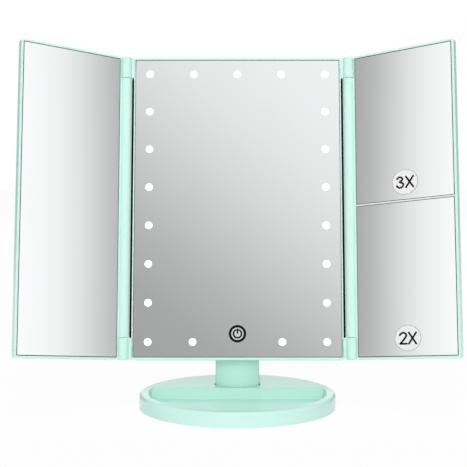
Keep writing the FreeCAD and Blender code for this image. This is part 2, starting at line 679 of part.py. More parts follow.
def battery_cells():
    """Four cells, turned end for end in turn."""
    cells = []
    low = BAY_BOTTOM + CONTACT
    for i, x in enumerate(cell_columns()):
        across = (x, CELL_Y)
        nub = 1.2
        if i % 2 == 0:
            can = rod("Z", CELL_RADIUS, low, low + CELL_LENGTH - nub, across)
            tip = rod("Z", 2.6, low + CELL_LENGTH - nub, low + CELL_LENGTH, across)
        else:
            can = rod("Z", CELL_RADIUS, low + nub, low + CELL_LENGTH, across)
            tip = rod("Z", 2.6, low, low + nub, across)
        cells.append(can.fuse(tip).removeSplitter())
    return cells


def battery_contacts():
    """Sprung plates at the ends of the bay; the middle ones join two neighbouring cells."""
    y = CELL_Y
    x = cell_columns()
    half = 4.5

    def plate(x0, x1, at_top):
        wall = BAY_TOP if at_top else BAY_BOTTOM
        inward = -1 if at_top else 1
        z = sorted((wall, wall + inward * CONTACT_PLATE))
        body = box(x0 - half, x1 + half, y - half, y + half, z[0], z[1])
        for centre in {x0, x1}:
            base = Vector(centre, y, wall + inward * CONTACT_PLATE / 2)
            depth = CONTACT - CONTACT_PLATE / 2
            body = body.fuse(Part.makeCone(3.0, 1.5, depth, base, Vector(0, 0, inward)))
        return body.removeSplitter()

    plates = [plate(x[i], x[i + 1], True) for i in range(0, CELLS - 1, 2)]
    plates += [plate(x[i], x[i + 1], False) for i in range(1, CELLS - 2, 2)]
    plates += [plate(x[0], x[0], False), plate(x[-1], x[-1], False)]
    return plates


def control_board():
    x0 = BAY_HALF + BAY_WALL + 1.5
    front = CONTROL_FRONT
    board = box(x0, x0 + CONTROL_WIDTH, front, front + BOARD, CONTROL_LOW, CONTROL_LOW + CONTROL_HEIGHT)
    for place in post_places():
        board = board.cut(rod("Y", BOARD_SCREW_RADIUS, front - 1, front + 5, place))
    return board


def board_parts():
    """The driver chip, a capacitor and a coil on the control board's back."""
    x0 = BAY_HALF + BAY_WALL + 3
    y = CONTROL_FRONT + BOARD
    chip = box(x0 + 1, x0 + 6, y, y + 1.6, USB_Z + 7, USB_Z + 13)
    capacitor = rod("Y", 2.5, y, y + 7, (x0 + 9.5, USB_Z + 13))
    coil = rod("Y", 2.4, y, y + 3, (x0 + 2.6, USB_Z))
    return [chip, capacitor, coil]


def wire(points):
    """An insulated lead of straight runs joined by round bends."""
    edges = []
    start = points[0]
    for before, corner, after in zip(points, points[1:], points[2:]):
        come = (corner - before).normalize()
        go = (after - corner).normalize()
        bend_in = corner - come * WIRE_BEND
        bend_out = corner + go * WIRE_BEND
        middle = corner + (go - come) * (WIRE_BEND * (1 - math.sqrt(0.5)))
        edges.append(Part.LineSegment(start, bend_in).toShape())
        edges.append(Part.Arc(bend_in, middle, bend_out).toShape())
        start = bend_out
    edges.append(Part.LineSegment(start, points[-1]).toShape())
    path = Part.Wire(edges)
    first = (points[1] - points[0]).normalize()
    section = Part.Wire(Part.makeCircle(WIRE_RADIUS, points[0], first))
    return path.makePipeShell([section], True, False)


def led_leads():
    """Two leads from the light board, through the carrier and up to the control board's front."""
    run_y = CARRIER_BACK + 3
    top = USB_Z - 5
    leads = []
    for x, z in wire_holes():
        route = [(x, BOARD_BACK, z), (x, run_y, z), (x, run_y, top), (x, CONTROL_FRONT, top)]
        leads.append(wire([Vector(*point) for point in route]))
    return leads


def battery_leads():
    """Two leads from the end contacts, under the bay and up to the control board's lower edge."""
    y = LEAD_Y
    leads = []
    for start, end, drop in ((cell_columns()[-1], 5.0, 4.5), (cell_columns()[0], 9.0, 6.2)):
        x = BAY_HALF + BAY_WALL + end
        low = BAY_BOTTOM - drop
        route = [(start, y, BAY_BOTTOM), (start, y, low), (x, y, low), (x, y, CONTROL_LOW)]
        leads.append(wire([Vector(*point) for point in route]))
    return leads


def board_screws():
    front = CONTROL_FRONT
    screws = []
    for place in post_places():
        shank = rod("Y", BOARD_SCREW_RADIUS, front - 0.5, front + BOARD + 4, place)
        head = rod("Y", BOARD_SCREW_HEAD, front - 1.2, front, place)
        screws.append(shank.fuse(head).removeSplitter())
    return screws


def usb_socket():
    """A five-pin micro socket; its mouth opens through the hump's side."""
    mouth = HUMP_WIDTH / 2 - 0.6
    y0 = CONTROL_FRONT + BOARD
    low = USB_Z - USB_WIDTH / 2
    shell = box(mouth - USB_LENGTH, mouth, y0, y0 + USB_HEIGHT, low, low + USB_WIDTH)
    along = [e for e in shell.Edges if abs(e.tangentAt(e.FirstParameter).x) > 0.99]
    shell = shell.makeChamfer(0.7, [e for e in along if e.BoundBox.YMin > y0 + 0.1])
    wall = 0.35
    shell = shell.cut(box(mouth - USB_LENGTH + 1, mouth + 1, y0 + wall, y0 + USB_HEIGHT - wall - 0.35,
                          low + wall + 0.3, low + USB_WIDTH - wall - 0.3))
    tongue = box(mouth - USB_LENGTH + 0.9, mouth - 0.8, y0 + 0.9, y0 + 1.4, low + 1.7, low + USB_WIDTH - 1.7)
    return fused(shell, tongue)


# ---------------------------------------------------------------- wings, drawn as the right wing
def wing_frame(split):
    inner = WING_GLASS_INNER - GLASS_GAP
    outer = WING_GLASS_OUTER + GLASS_GAP
    low = RIM_BOTTOM - GLASS_GAP
    high = GLASS_TOP + GLASS_GAP
    body = panel(WING_PANEL_INNER, WING_WIDTH, 0, FRAME_HEIGHT, 0, WING_FRAME_DEPTH, CORNER)
    body = round_edges(body, EDGE_ROUND, edges_at(0))
    barrel_low = KNUCKLE + KNUCKLE_GAP
    barrel_high = FRAME_HEIGHT - barrel_low
    barrel = rod("Z", HINGE_RADIUS, barrel_low, barrel_high, (0, 0))
    web_depth = min(HINGE_RADIUS, WING_FRAME_DEPTH)
    web = box(0, WING_PANEL_INNER + 0.5, 0, web_depth, barrel_low, barrel_high)
    body = fused(body, barrel, web)
    body = body.cut(box(inner, outer, -5, WING_LEDGE_Y, low, high))
    window = panel(inner + LEDGE, outer - LEDGE, low + LEDGE, high - LEDGE, 0, WING_FRAME_DEPTH + 1, 1)
    if split:
        half = DIVIDER / 2 + LEDGE
        window = window.cut(box(0, WING_WIDTH, -1, 9, MIDDLE_Z - half, MIDDLE_Z + half))
    body = body.cut(window)
    for low_z, high_z in hinge_pin_spans():
        body = body.cut(rod("Z", HINGE_PIN_RADIUS + RUN_GAP, low_z - 0.3, high_z + 0.3, (0, 0)))
    return body


def wing_back():
    """Rear shell of a wing, with a locating ring that drops inside the frame."""
    back = WING_FRAME_DEPTH + WING_BACK
    shell = panel(WING_PANEL_INNER, WING_WIDTH, 0, FRAME_HEIGHT, WING_FRAME_DEPTH, back, CORNER)
    shell = round_edges(shell, 1.2, edges_at(back))
    gap = LEDGE + 0.2
    locating = ring(WING_GLASS_INNER + gap, WING_GLASS_OUTER - gap, RIM_BOTTOM + gap, GLASS_TOP - gap,
                    WING_FRAME_DEPTH - 1, WING_FRAME_DEPTH + 0.2, 1, 1.2)
    return locating, shell


def left_wing_back():
    locating, shell = wing_back()
    return fused(shell, locating)


def right_wing_back():
    locating, shell = wing_back()
    half = DIVIDER / 2 + LEDGE + 0.2
    locating = locating.cut(box(0, WING_WIDTH, 0, WING_FRAME_DEPTH, MIDDLE_Z - half, MIDDLE_Z + half))
    return fused(shell, locating)


def wing_glass(low, high):
    return panel(WING_GLASS_INNER, WING_GLASS_OUTER, low, high, WING_RECESS, WING_RECESS + GLASS, 0.6)


def magnifier(low, high, bulge):
    """Flat-fronted lens with a flange all round and a silvered, rounded back."""
    plate = wing_glass(low, high)
    edge = LEDGE + 0.4
    half_x = (WING_GLASS_OUTER - WING_GLASS_INNER) / 2 - edge
    half_z = (high - low) / 2 - edge
    radius = (half_x ** 2 + half_z ** 2 + bulge ** 2) / 2 / bulge
    centre_x = (WING_GLASS_OUTER + WING_GLASS_INNER) / 2
    centre_z = (high + low) / 2
    back = WING_RECESS + GLASS
    block = box(centre_x - half_x, centre_x + half_x, back - 0.5, back + bulge + 1,
                centre_z - half_z, centre_z + half_z)
    ball = Part.makeSphere(radius, Vector(centre_x, back + bulge - radius, centre_z))
    return fused(plate, block.common(ball))


def magnifier_3x():
    return magnifier(DIVIDER_HIGH, GLASS_TOP, BULGE_3X)


def magnifier_2x():
    return magnifier(RIM_BOTTOM, DIVIDER_LOW, BULGE_2X)


def mirror_divider():
    return box(WING_GLASS_INNER, WING_GLASS_OUTER, 0, WING_LEDGE_Y, DIVIDER_LOW, DIVIDER_HIGH)


def wing_tape(spans):
    y0 = WING_RECESS + GLASS
    return [
        ring(WING_GLASS_INNER, WING_GLASS_OUTER, low, high, y0, WING_LEDGE_Y, 0.6, LEDGE - 0.4)
        for low, high in spans
    ]


def badge(above):
    """A printed oval."""
    centre = Vector(BADGE_X, WING_RECESS - PRINT, above + BADGE_ABOVE_EDGE)
    wide = centre + Vector(BADGE_HALF_WIDTH, 0, 0)
    curve = Part.Ellipse(wide, centre + Vector(0, 0, BADGE_HALF_HEIGHT), centre)
    return Part.Face(Part.Wire(curve.toShape())).extrude(Vector(0, PRINT, 0))


# ---------------------------------------------------------------- placing and writing
def place_head(shape):
    moved = shape.copy()
    moved.translate(Vector(0, PIVOT_Y - PIVOT_BEHIND_GLASS, PIVOT_Z - PIVOT_ABOVE_EDGE))
    moved.rotate(Vector(0, PIVOT_Y, PIVOT_Z), Vector(1, 0, 0), -TILT_ANGLE)
    return moved


def place_right_wing(shape):
    moved = shape.copy()
    moved.translate(Vector(HINGE_X, -HINGE_AHEAD, 0))
    moved.rotate(Vector(HINGE_X, -HINGE_AHEAD, 0), Vector(0, 0, 1), -WING_OPEN)
    return moved


STAND = {
    "base_tray": base_tray(),
    "base_plate": base_plate(),
    "foot_pads": foot_pads(),
    "plate_screws": plate_screws(),
    "base_weights": base_weights(),
    "neck_post": neck_post(),
    "neck_screws": neck_screws(),
}
HEAD = {
    "friction_washers": friction_washers(),
    "spring_washers": spring_washers(),
    "tilt_pin": tilt_pin(),
    "tilt_nut": tilt_nut(),
    "front_frame": front_frame(),
    "hinge_pins": hinge_pins(),
    "buffer_strips": buffer_strips(),
    "centre_mirror": centre_mirror(),
    "light_diffuser": light_diffuser(),
    "mirror_tape": mirror_tape(),
    "led_board": led_board(),
    "led_chips": led_chips(),
    "led_carrier": led_carrier(),
    "touch_pad": touch_pad(),
    "touch_contact": touch_contact(),
    "touch_mark": touch_mark(),
    "rear_cover": rear_cover(),
    "cover_screws": cover_screws(),
    "battery_door": battery_door(),
    "battery_cells": battery_cells(),
    "battery_contacts": battery_contacts(),
    "control_board": control_board(),
    "board_parts": board_parts(),
    "board_screws": board_screws(),
    "usb_socket": usb_socket(),
    "led_leads": led_leads(),
    "battery_leads": battery_leads(),
}
LEFT_WING = {
    "left_wing_frame": wing_frame(False),
    "left_wing_back": left_wing_back(),
    "left_mirror": wing_glass(RIM_BOTTOM, GLASS_TOP),
    "left_mirror_tape": wing_tape([(RIM_BOTTOM, GLASS_TOP)]),
}
RIGHT_WING = {
    "right_wing_frame": wing_frame(True),
    "right_wing_back": right_wing_back(),
    "magnifier_3x": magnifier_3x(),
    "magnifier_2x": magnifier_2x(),
    "mirror_divider": mirror_divider(),
    "badge_3x": badge(DIVIDER_HIGH),
    "badge_2x": badge(RIM_BOTTOM),
    "right_mirror_tape": wing_tape([(RIM_BOTTOM, DIVIDER_LOW), (DIVIDER_HIGH, GLASS_TOP)]),
}


def write(name, made, *moves):
    """Moves a sub-part to its place and writes it; a list is a group of separate solids."""
    solids = []
    for shape in made if isinstance(made, list) else [made]:
        for move in moves:
            shape = move(shape)
        solids += shape.Solids
    for solid in solids:
        if not solid.isValid():
            print("not valid:", name)
    whole = solids[0] if len(solids) == 1 else Part.makeCompound(solids)
    whole.exportStep("parts/" + name + ".step")


os.makedirs("parts", exist_ok=True)
for name, made in STAND.items():
    write(name, made)
for name, made in HEAD.items():
    write(name, made, place_head)
for name, made in LEFT_WING.items():
    write(name, made, place_right_wing, mirrored, place_head)
for name, made in RIGHT_WING.items():
    write(name, made, place_right_wing, place_head)
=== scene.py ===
import json
import math

import bmesh
import bpy
from mathutils import Matrix, Vector


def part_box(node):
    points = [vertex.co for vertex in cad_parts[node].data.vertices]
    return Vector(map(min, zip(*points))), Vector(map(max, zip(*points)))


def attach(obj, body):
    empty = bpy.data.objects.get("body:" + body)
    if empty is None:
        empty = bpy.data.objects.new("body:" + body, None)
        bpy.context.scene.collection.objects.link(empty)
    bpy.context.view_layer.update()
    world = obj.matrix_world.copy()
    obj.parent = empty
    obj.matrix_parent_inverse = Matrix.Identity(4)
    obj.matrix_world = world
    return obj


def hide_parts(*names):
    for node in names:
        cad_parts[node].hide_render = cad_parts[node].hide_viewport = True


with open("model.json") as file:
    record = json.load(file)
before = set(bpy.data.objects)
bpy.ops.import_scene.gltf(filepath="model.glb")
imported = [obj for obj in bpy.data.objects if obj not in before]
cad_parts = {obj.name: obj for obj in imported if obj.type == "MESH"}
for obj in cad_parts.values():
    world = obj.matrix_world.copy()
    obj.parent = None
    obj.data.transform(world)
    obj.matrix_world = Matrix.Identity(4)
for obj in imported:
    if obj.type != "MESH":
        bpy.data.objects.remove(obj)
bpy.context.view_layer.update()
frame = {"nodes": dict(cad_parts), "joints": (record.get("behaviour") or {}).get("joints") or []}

# ------------------------ studio
# The room the mirror stands in: a white floor, white surroundings, and three broad soft lamps in
# front, overhead and behind. The glasses show the room: bright above and grey lower down, with
# soft bright panels ahead on both sides that fade to grey beyond them.
scene = bpy.context.scene
scene.view_settings.view_transform = "Standard"


def add_object(name, data):
    """A new object in the scene, from its mesh, curve, lamp or camera."""
    made = bpy.data.objects.new(name, data)
    scene.collection.objects.link(made)
    return made


def add_shape(name, shape):
    """A new object in the scene with this shape for its mesh."""
    mesh = bpy.data.meshes.new(name)
    shape.to_mesh(mesh)
    shape.free()
    return add_object(name, mesh)


LENS = 79.56
SENSOR = 36.0
FRAMING = (-0.0085, 0.0909)  # the lens's shift to the side and up
VIEW_DOWN = math.radians(7.026)
VIEW_DISTANCE = 0.7688
VIEW_AIM = Vector((0.0, 0.0, 0.0999))
camera = add_object("camera", bpy.data.cameras.new("camera"))
scene.camera = camera
camera.data.sensor_width = SENSOR
camera.data.lens = LENS
camera.data.shift_x, camera.data.shift_y = FRAMING
view_line = Vector((0.0, math.cos(VIEW_DOWN), -math.sin(VIEW_DOWN)))
camera.location = VIEW_AIM - VIEW_DISTANCE * view_line
camera.rotation_euler = (math.pi / 2 - VIEW_DOWN, 0.0, 0.0)

LAMP_AIM = Vector((0.0, 0.0, 0.12))


def softbox(name, place, size, power):
    """A square soft lamp that looks at the middle of the mirror and isn't seen in its glasses."""
    lamp = bpy.data.lights.new(name, "AREA")
    lamp.size = size
    lamp.energy = power
    holder = add_object(name, lamp)
    holder.location = place
    holder.rotation_euler = (LAMP_AIM - holder.location).to_track_quat("-Z", "Y").to_euler()
    holder.visible_glossy = False


softbox("front_lamp", (0.0, -1.55, 0.6), size=0.8, power=10.5)
softbox("top_lamp", (0.0, -0.35, 1.9), size=1.1, power=9.5)
softbox("rear_lamp", (0.0, 1.8, 1.1), size=1.2, power=9.0)


def grey(shade):
    return (shade, shade, shade, 1.0)


class Wire:
    """A value on its way through a material or the world; sums on it add their Math nodes."""

    def __init__(self, tree, socket=None):
        self.tree = tree
        self.socket = socket

    def node(self, kind, settings, inputs, output=0):
        """Adds a node: first its settings, then the values or wires of its sockets."""
        made = self.tree.nodes.new(kind)
        for name, value in settings.items():
            if name != "stops":
                setattr(made, name, value)
                continue
            ramp = made.color_ramp.elements
            for index, (place, shade) in enumerate(value):
                if 0 < index < len(value) - 1:
                    stop = ramp.new(place)
                else:
                    stop = ramp[0 if index == 0 else len(ramp) - 1]
                    stop.position = place
                stop.color = (*shade, 1.0) if isinstance(shade, tuple) else grey(shade)
        for name, value in inputs.items():
            if isinstance(value, Wire):
                self.tree.links.new(value.socket, made.inputs[name])
            else:
                made.inputs[name].default_value = value
        return Wire(self.tree, made.outputs[output])

    def sum(self, operation, *values):
        return self.node("ShaderNodeMath", {"operation": operation}, dict(enumerate(values)))

    def __add__(self, other):
        return self.sum("ADD", self, other)

    __radd__ = __add__

    def __sub__(self, other):
        return self.sum("SUBTRACT", self, other)

    def __rsub__(self, other):
        return self.sum("SUBTRACT", other, self)

    def __mul__(self, other):
        return self.sum("MULTIPLY", self, other)

    __rmul__ = __mul__

    def __truediv__(self, other):
        return self.sum("DIVIDE", self, other)

    def __rtruediv__(self, other):
        return self.sum("DIVIDE", other, self)


def fade(value, first, last):
    """0 up to the first value, 1 from the last one on, and a smooth step between them."""
    return value.node("ShaderNodeMapRange", {"interpolation_type": "SMOOTHSTEP"},
                      {"Value": value, "From Min": first, "From Max": last})


def shades(value, *stops):
    """The greys or colours of these stops, with straight runs between them."""
    return value.node("ShaderNodeValToRGB", {"stops": stops}, {"Fac": value})


def mix(mask, low, high):
    """A colour that runs from low to high with the mask."""
    return mask.node("ShaderNodeMix", {"data_type": "RGBA"}, {0: mask, 6: low, 7: high}, 2)


def ray_kinds(tree):
    """Two masks: what the camera sees directly, and what it sees in gloss or through glass."""
    path = tree.nodes.new("ShaderNodeLightPath")
    direct, gloss, through = (Wire(tree, path.outputs[kind]) for kind in
                              ("Is Camera Ray", "Is Glossy Ray", "Is Transmission Ray"))
    return direct, gloss.sum("MAXIMUM", gloss, through)


room = bpy.data.worlds.new("studio")
room.use_nodes = True
scene.world = room
tree = room.node_tree
sight = Wire(tree).node("ShaderNodeTexCoord", {}, {}, "Generated")
axes = tree.nodes.new("ShaderNodeSeparateXYZ")
tree.links.new(sight.socket, axes.inputs[0])
across, along, height = (Wire(tree, socket) for socket in axes.outputs)
side = across / across.sum("SQRT", across * across + along * along + 0.000001)
turn = side.sum("ABSOLUTE", side)

# straight ahead the room brightens with height, a little more towards the right
ahead = shades(height + 0.75 * across, (0.0, 0.33), (0.2, 0.39), (0.257, 0.415), (0.312, 0.49),
               (0.368, 0.605), (0.423, 0.725), (0.478, 0.825), (0.533, 0.895), (0.588, 0.925),
               (0.8, 0.97), (1.0, 1.0))
# to either side stands a bright panel that fades to grey beyond it, and leans a little
panel_turn = turn - 0.108 * (height - 0.33) - 0.0046 * side
flank = shades(panel_turn, (0.6, 1.0), (0.81, 1.03), (0.825, 1.0), (0.8375, 0.925), (0.8485, 0.8),
               (0.8585, 0.645), (0.868, 0.505), (0.873, 0.465), (0.881, 0.375), (0.9, 0.34),
               (0.94, 0.55), (1.0, 0.9))
facing = mix(fade(turn, 0.3, 0.75), ahead, flank)
# low down it pales to the white of the floor
facing = mix(fade(height, 0.0, 0.18), grey(0.97), facing)
# behind are the white backdrop, dark screens to its left and right, and a pale ceiling over them
screens = shades(turn, (0.0, 1.0), (0.2, 1.0), (0.34, 0.1), (0.85, 0.1), (1.0, 0.7))
behind = mix(fade(height, 0.35, 0.7), screens, grey(0.9))
seen_in_glass = mix(fade(along, -0.05, 0.1), facing, behind)
# the room's own soft light is strongest from ahead, behind and above, and weak from the sides
soft_light = shades(0.1 + 0.6 * along.sum("ABSOLUTE", along) + 0.3 * height,
                    (0.0, 0.1), (0.3, 0.14), (0.7, 0.58), (1.0, 0.66))
direct, mirrored = ray_kinds(tree)
shown = mix(direct, mix(mirrored, soft_light, seen_in_glass), grey(1.0))
tree.links.new(shown.socket, tree.nodes["Background"].inputs["Color"])


def new_finish(name, **sockets):
    """A material and its object coordinates; the values given are the same all over it."""
    finish = bpy.data.materials.new(name)
    finish.use_nodes = True
    shader = finish.node_tree.nodes["Principled BSDF"]
    for socket, value in sockets.items():
        shader.inputs[socket.replace("_", " ")].default_value = value
    place = Wire(finish.node_tree).node("ShaderNodeTexCoord", {}, {}, "Object")
    return finish, place


FLOOR_REACH = 4.0
FLOOR_GLOW = 0.94
ground = bmesh.new()
bmesh.ops.create_grid(ground, x_segments=1, y_segments=1, size=FLOOR_REACH)
floor = add_shape("floor", ground)
paper, place = new_finish("white_paper", Base_Color=grey(0.95), Roughness=0.9,
                          Specular_IOR_Level=0.0)
tree = paper.node_tree
glow = place.node("ShaderNodeEmission", {}, {"Color": grey(1.0), "Strength": 1.0}, "Emission")
direct, mirrored = ray_kinds(tree)
surface = place.node("ShaderNodeMixShader", {}, {
    0: FLOOR_GLOW * direct.sum("MAXIMUM", direct, mirrored),
    1: Wire(tree, tree.nodes["Principled BSDF"].outputs[0]), 2: glow})
tree.links.new(surface.socket, tree.nodes["Material Output"].inputs["Surface"])
floor.data.materials.append(paper)

# ------------------------ base with its tray
# The oval base is one glossy ABS moulding, open underneath. The front two thirds are sunk to make
# a tray with a straight back edge, and the neck stands in a close seat in the deck behind it.


def lay(finish, **wires):
    """Leads what varies over the surface to the shader."""
    shader = finish.node_tree.nodes["Principled BSDF"]
    for socket, wire in wires.items():
        finish.node_tree.links.new(wire.socket, shader.inputs[socket.replace("_", " ")])


def cloud(place, scale, detail=2.0):
    """Soft random mottling, with this many patches to the metre."""
    return place.node("ShaderNodeTexNoise", {},
                      {"Vector": place, "Scale": scale, "Detail": detail}, "Fac")


def between(mask, low, high):
    """The colours of a surface that runs from one to the other with the mask."""
    return mix(mask, (*low, 1.0), (*high, 1.0))


def relief(bumps, depth):
    """The surface normal over bumps of this depth in metres."""
    return bumps.node("ShaderNodeBump", {},
                      {"Height": bumps, "Distance": depth, "Strength": 1.0}, "Normal")


# mint ABS from a polished mould: faint flow clouding, orange peel and rubbed patches
mint, place = new_finish("mint_gloss", IOR=1.5, Coat_Roughness=0.12)
peel = cloud(place, 420.0, 1.0)
rub = cloud(place, 26.0, 1.0)
lay(mint, Base_Color=between(cloud(place, 14.0, 3.0), (0.605, 0.905, 0.81), (0.63, 0.92, 0.83)),
    Roughness=0.2 + 0.06 * rub + 0.02 * peel, Coat_Weight=0.3 + 0.06 * rub,
    Normal=relief(peel, 0.000006))


def round_edges(shape, edges, radius, steps=4):
    """Rounds edges to a radius; one step makes a chamfer."""
    bmesh.ops.bevel(shape, geom=edges, offset=radius, offset_type="OFFSET", segments=steps,
                    profile=0.5, affect="EDGES", material=-1, clamp_overlap=True)


def edges_at(shape, axis, value):
    """The edges that lie in the plane where this coordinate has this value."""
    return [e for e in shape.edges if all(abs(v.co[axis] - value) < 1e-3 for v in e.verts)]


def oval_block(half_x, half_y, low, high, steps=160):
    """An upright block with an oval outline."""
    shape = bmesh.new()
    bmesh.ops.create_cone(shape, cap_ends=True, segments=steps, radius1=1.0, radius2=1.0, depth=1.0)
    bmesh.ops.scale(shape, vec=(half_x, half_y, high - low), verts=shape.verts)
    bmesh.ops.translate(shape, vec=(0.0, 0.0, (low + high) / 2), verts=shape.verts)
    return shape


def joined(shapes):
    """Several shapes in one, each still closed by itself."""
    whole = bmesh.new()
    mesh = bpy.data.meshes.new("joined")
    for shape in shapes:
        shape.to_mesh(mesh)
        whole.from_mesh(mesh)
        shape.free()
    bpy.data.meshes.remove(mesh)
    return whole


def cut_away(shape, *tools):
    """Cuts the tools' room out of a shape."""
    tool = joined(tools)
    bmesh.ops.recalc_face_normals(tool, faces=tool.faces)
    cutter = add_shape("cutter", tool)
    work = add_shape("workpiece", shape)
    cut = work.modifiers.new("cut", "BOOLEAN")
    cut.operation = "DIFFERENCE"
    cut.solver = "EXACT"
    cut.object = cutter
    result = bmesh.new()
    ready = work.evaluated_get(bpy.context.evaluated_depsgraph_get())
    result.from_mesh(ready.to_mesh())
    for used in (work, cutter):
        mesh = used.data
        bpy.data.objects.remove(used)
        bpy.data.meshes.remove(mesh)
    return result


MILLIMETRES = Matrix.Scale(0.001, 4)
SHARP = math.radians(38.0)  # edges sharper than this stay sharp in the shading
SOFTENED = math.radians(40.0)  # edges sharper than this are rounded a little


def settle(name, shapes, place, finishes, body, stands_for=(), soften=0.0, flat=False):
    """Puts shapes drawn in millimetres in their place, as one piece that rides on a body."""
    whole = joined(shapes)
    bmesh.ops.recalc_face_normals(whole, faces=whole.faces)
    bmesh.ops.transform(whole, matrix=place @ MILLIMETRES, verts=whole.verts)
    if place.determinant() < 0:
        bmesh.ops.reverse_faces(whole, faces=whole.faces)
    for face in whole.faces:
        face.smooth = not flat
    piece = add_shape(name, whole)
    for finish in finishes:
        piece.data.materials.append(finish)
    if not flat:
        piece.data.set_sharp_from_angle(angle=SHARP)
    if soften:
        edge = piece.modifiers.new("edge_rounding", "BEVEL")
        edge.width = soften * 0.001
        edge.segments = 2
        edge.limit_method = "ANGLE"
        edge.angle_limit = SOFTENED
    if not flat:
        shading = piece.modifiers.new("even_shading", "WEIGHTED_NORMAL")
        shading.keep_sharp = True
    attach(piece, body)
    if stands_for:
        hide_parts(*stands_for)
    return piece


def millimetres(node):
    """The lowest and highest corner of a CAD solid."""
    low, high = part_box(node)
    return low * 1000.0, high * 1000.0


STAND = Matrix.Identity(4)
base_low, base_high = millimetres("base_tray")
DECK_TOP = base_high.z
BASE_UNDER = base_low.z
HALF_LENGTH = base_high.x
HALF_DEPTH = base_high.y
RIM_ROUND = 2.5  # outer edge of the rim
RIM_LIP_ROUND = 0.7  # its inner edge
TRAY_BACK = 12.0  # line of the tray's straight back edge
TRAY_RIM = 7.0
TRAY_FLOOR = 3.2
TRAY_CORNER = 1.0  # rounding along the floor
WALL = 1.6
DECK = 1.2


def tray_room(inset, back, low, high):
    """The half-oval room of the tray, this far inside the outline, which ends at this line."""
    shape = oval_block(HALF_LENGTH - inset, HALF_DEPTH - inset, low, high)
    made = bmesh.ops.bisect_plane(
        shape, geom=[*shape.verts, *shape.edges, *shape.faces], dist=1e-4,
        plane_co=(0.0, back, 0.0), plane_no=(0.0, 1.0, 0.0), clear_outer=True)
    cut = [e for e in made["geom_cut"] if isinstance(e, bmesh.types.BMEdge)]
    bmesh.ops.holes_fill(shape, edges=cut)
    return shape


hollow = oval_block(HALF_LENGTH - WALL, HALF_DEPTH - WALL, BASE_UNDER - 1.0, DECK_TOP - DECK)
hollow = cut_away(hollow, tray_room(TRAY_RIM - WALL, TRAY_BACK + WALL, TRAY_FLOOR - DECK,
                                    DECK_TOP))
well = tray_room(TRAY_RIM, TRAY_BACK, TRAY_FLOOR, DECK_TOP + 5.0)
round_edges(well, edges_at(well, 2, TRAY_FLOOR), TRAY_CORNER, 5)
tray = oval_block(HALF_LENGTH, HALF_DEPTH, BASE_UNDER, DECK_TOP)
round_edges(tray, edges_at(tray, 2, DECK_TOP), RIM_ROUND, 7)
tray = cut_away(tray, hollow, well)
lip = [e for e in edges_at(tray, 2, DECK_TOP)
       if any(f.calc_center_median().z < DECK_TOP - 2.0 and abs(f.normal.z) < 0.3
              for f in e.link_faces)]
round_edges(tray, lip, RIM_LIP_ROUND)

neck_low, neck_high = millimetres("neck_post")
FLANGE_SIDE = 9.0  # how far the neck's flange stands out on each side
NECK_HALF = neck_high.x - FLANGE_SIDE
NECK_BOW = 7.0
NECK_GAP = 0.6
pivot = Vector(next(j for j in frame["joints"] if j["name"] == "head_tilt")["pos_m"]) * 1000.0
BARREL = 7.0


def neck_column(gap, low, high):
    """The neck's section, this much larger all round: bowed in front, flat sides and back."""
    half = NECK_HALF + gap
    front = pivot.y - BARREL - gap
    back = pivot.y + BARREL + gap
    radius = (half * half + NECK_BOW * NECK_BOW) / (2.0 * NECK_BOW)
    sweep = 2.0 * math.asin(half / radius)
    shape = bmesh.new()
    first = shape.verts.new((-half, front + NECK_BOW, low))
    bmesh.ops.spin(shape, geom=[first], cent=(0.0, front + radius, low), axis=(0.0, 0.0, 1.0),
                   dvec=(0.0, 0.0, 0.0), angle=sweep, steps=24, use_merge=False)
    last = max(shape.verts, key=lambda v: v.co.x)
    corners = [shape.verts.new((half, back, low)), shape.verts.new((-half, back, low))]
    for a, b in ((last, corners[0]), (corners[0], corners[1]), (corners[1], first)):
        shape.edges.new((a, b))
    bmesh.ops.contextual_create(shape, geom=shape.edges[:])
    raised = bmesh.ops.extrude_face_region(shape, geom=shape.faces[:])["geom"]
    bmesh.ops.translate(shape, vec=(0.0, 0.0, high - low),
                        verts=[v for v in raised if isinstance(v, bmesh.types.BMVert)])
    bmesh.ops.holes_fill(shape, edges=[e for e in shape.edges if e.is_boundary])
    bmesh.ops.recalc_face_normals(shape, faces=shape.faces)
    return shape


tray = cut_away(tray, neck_column(NECK_GAP, DECK_TOP - 5.0, DECK_TOP + 4.0))
settle("oval_base", [tray], STAND, [mint], "stand", ["base_tray"], soften=0.15)

# ------------------------ bottom cover, feet and weights
# A flat ABS cover closes the base. Three countersunk cross-head screws hold it, four rubber feet
# are stuck in shallow seats, and two steel plates inside keep the stand from tipping.


def rod(radius, low, high, place, axis="Z", steps=48, ends=0.0, top_radius=None):
    """A round bar along an axis, from low to high, with its ends rounded if asked."""
    shape = bmesh.new()
    bmesh.ops.create_cone(shape, cap_ends=True, segments=steps, radius1=radius,
                          radius2=radius if top_radius is None else top_radius, depth=high - low)
    bmesh.ops.translate(shape, vec=(0.0, 0.0, (low + high) / 2), verts=shape.verts)
    if ends:
        round_edges(shape, edges_at(shape, 2, low) + edges_at(shape, 2, high), ends, 3)
    turned, spot = {
        "X": (Matrix.Rotation(math.pi / 2, 3, "Y"), (0.0, *place)),
        "Y": (Matrix.Rotation(-math.pi / 2, 3, "X"), (place[0], 0.0, place[1])),
        "Z": (Matrix.Identity(3), (*place, 0.0))}[axis]
    bmesh.ops.rotate(shape, matrix=turned, verts=shape.verts)
    bmesh.ops.translate(shape, vec=spot, verts=shape.verts)
    return shape


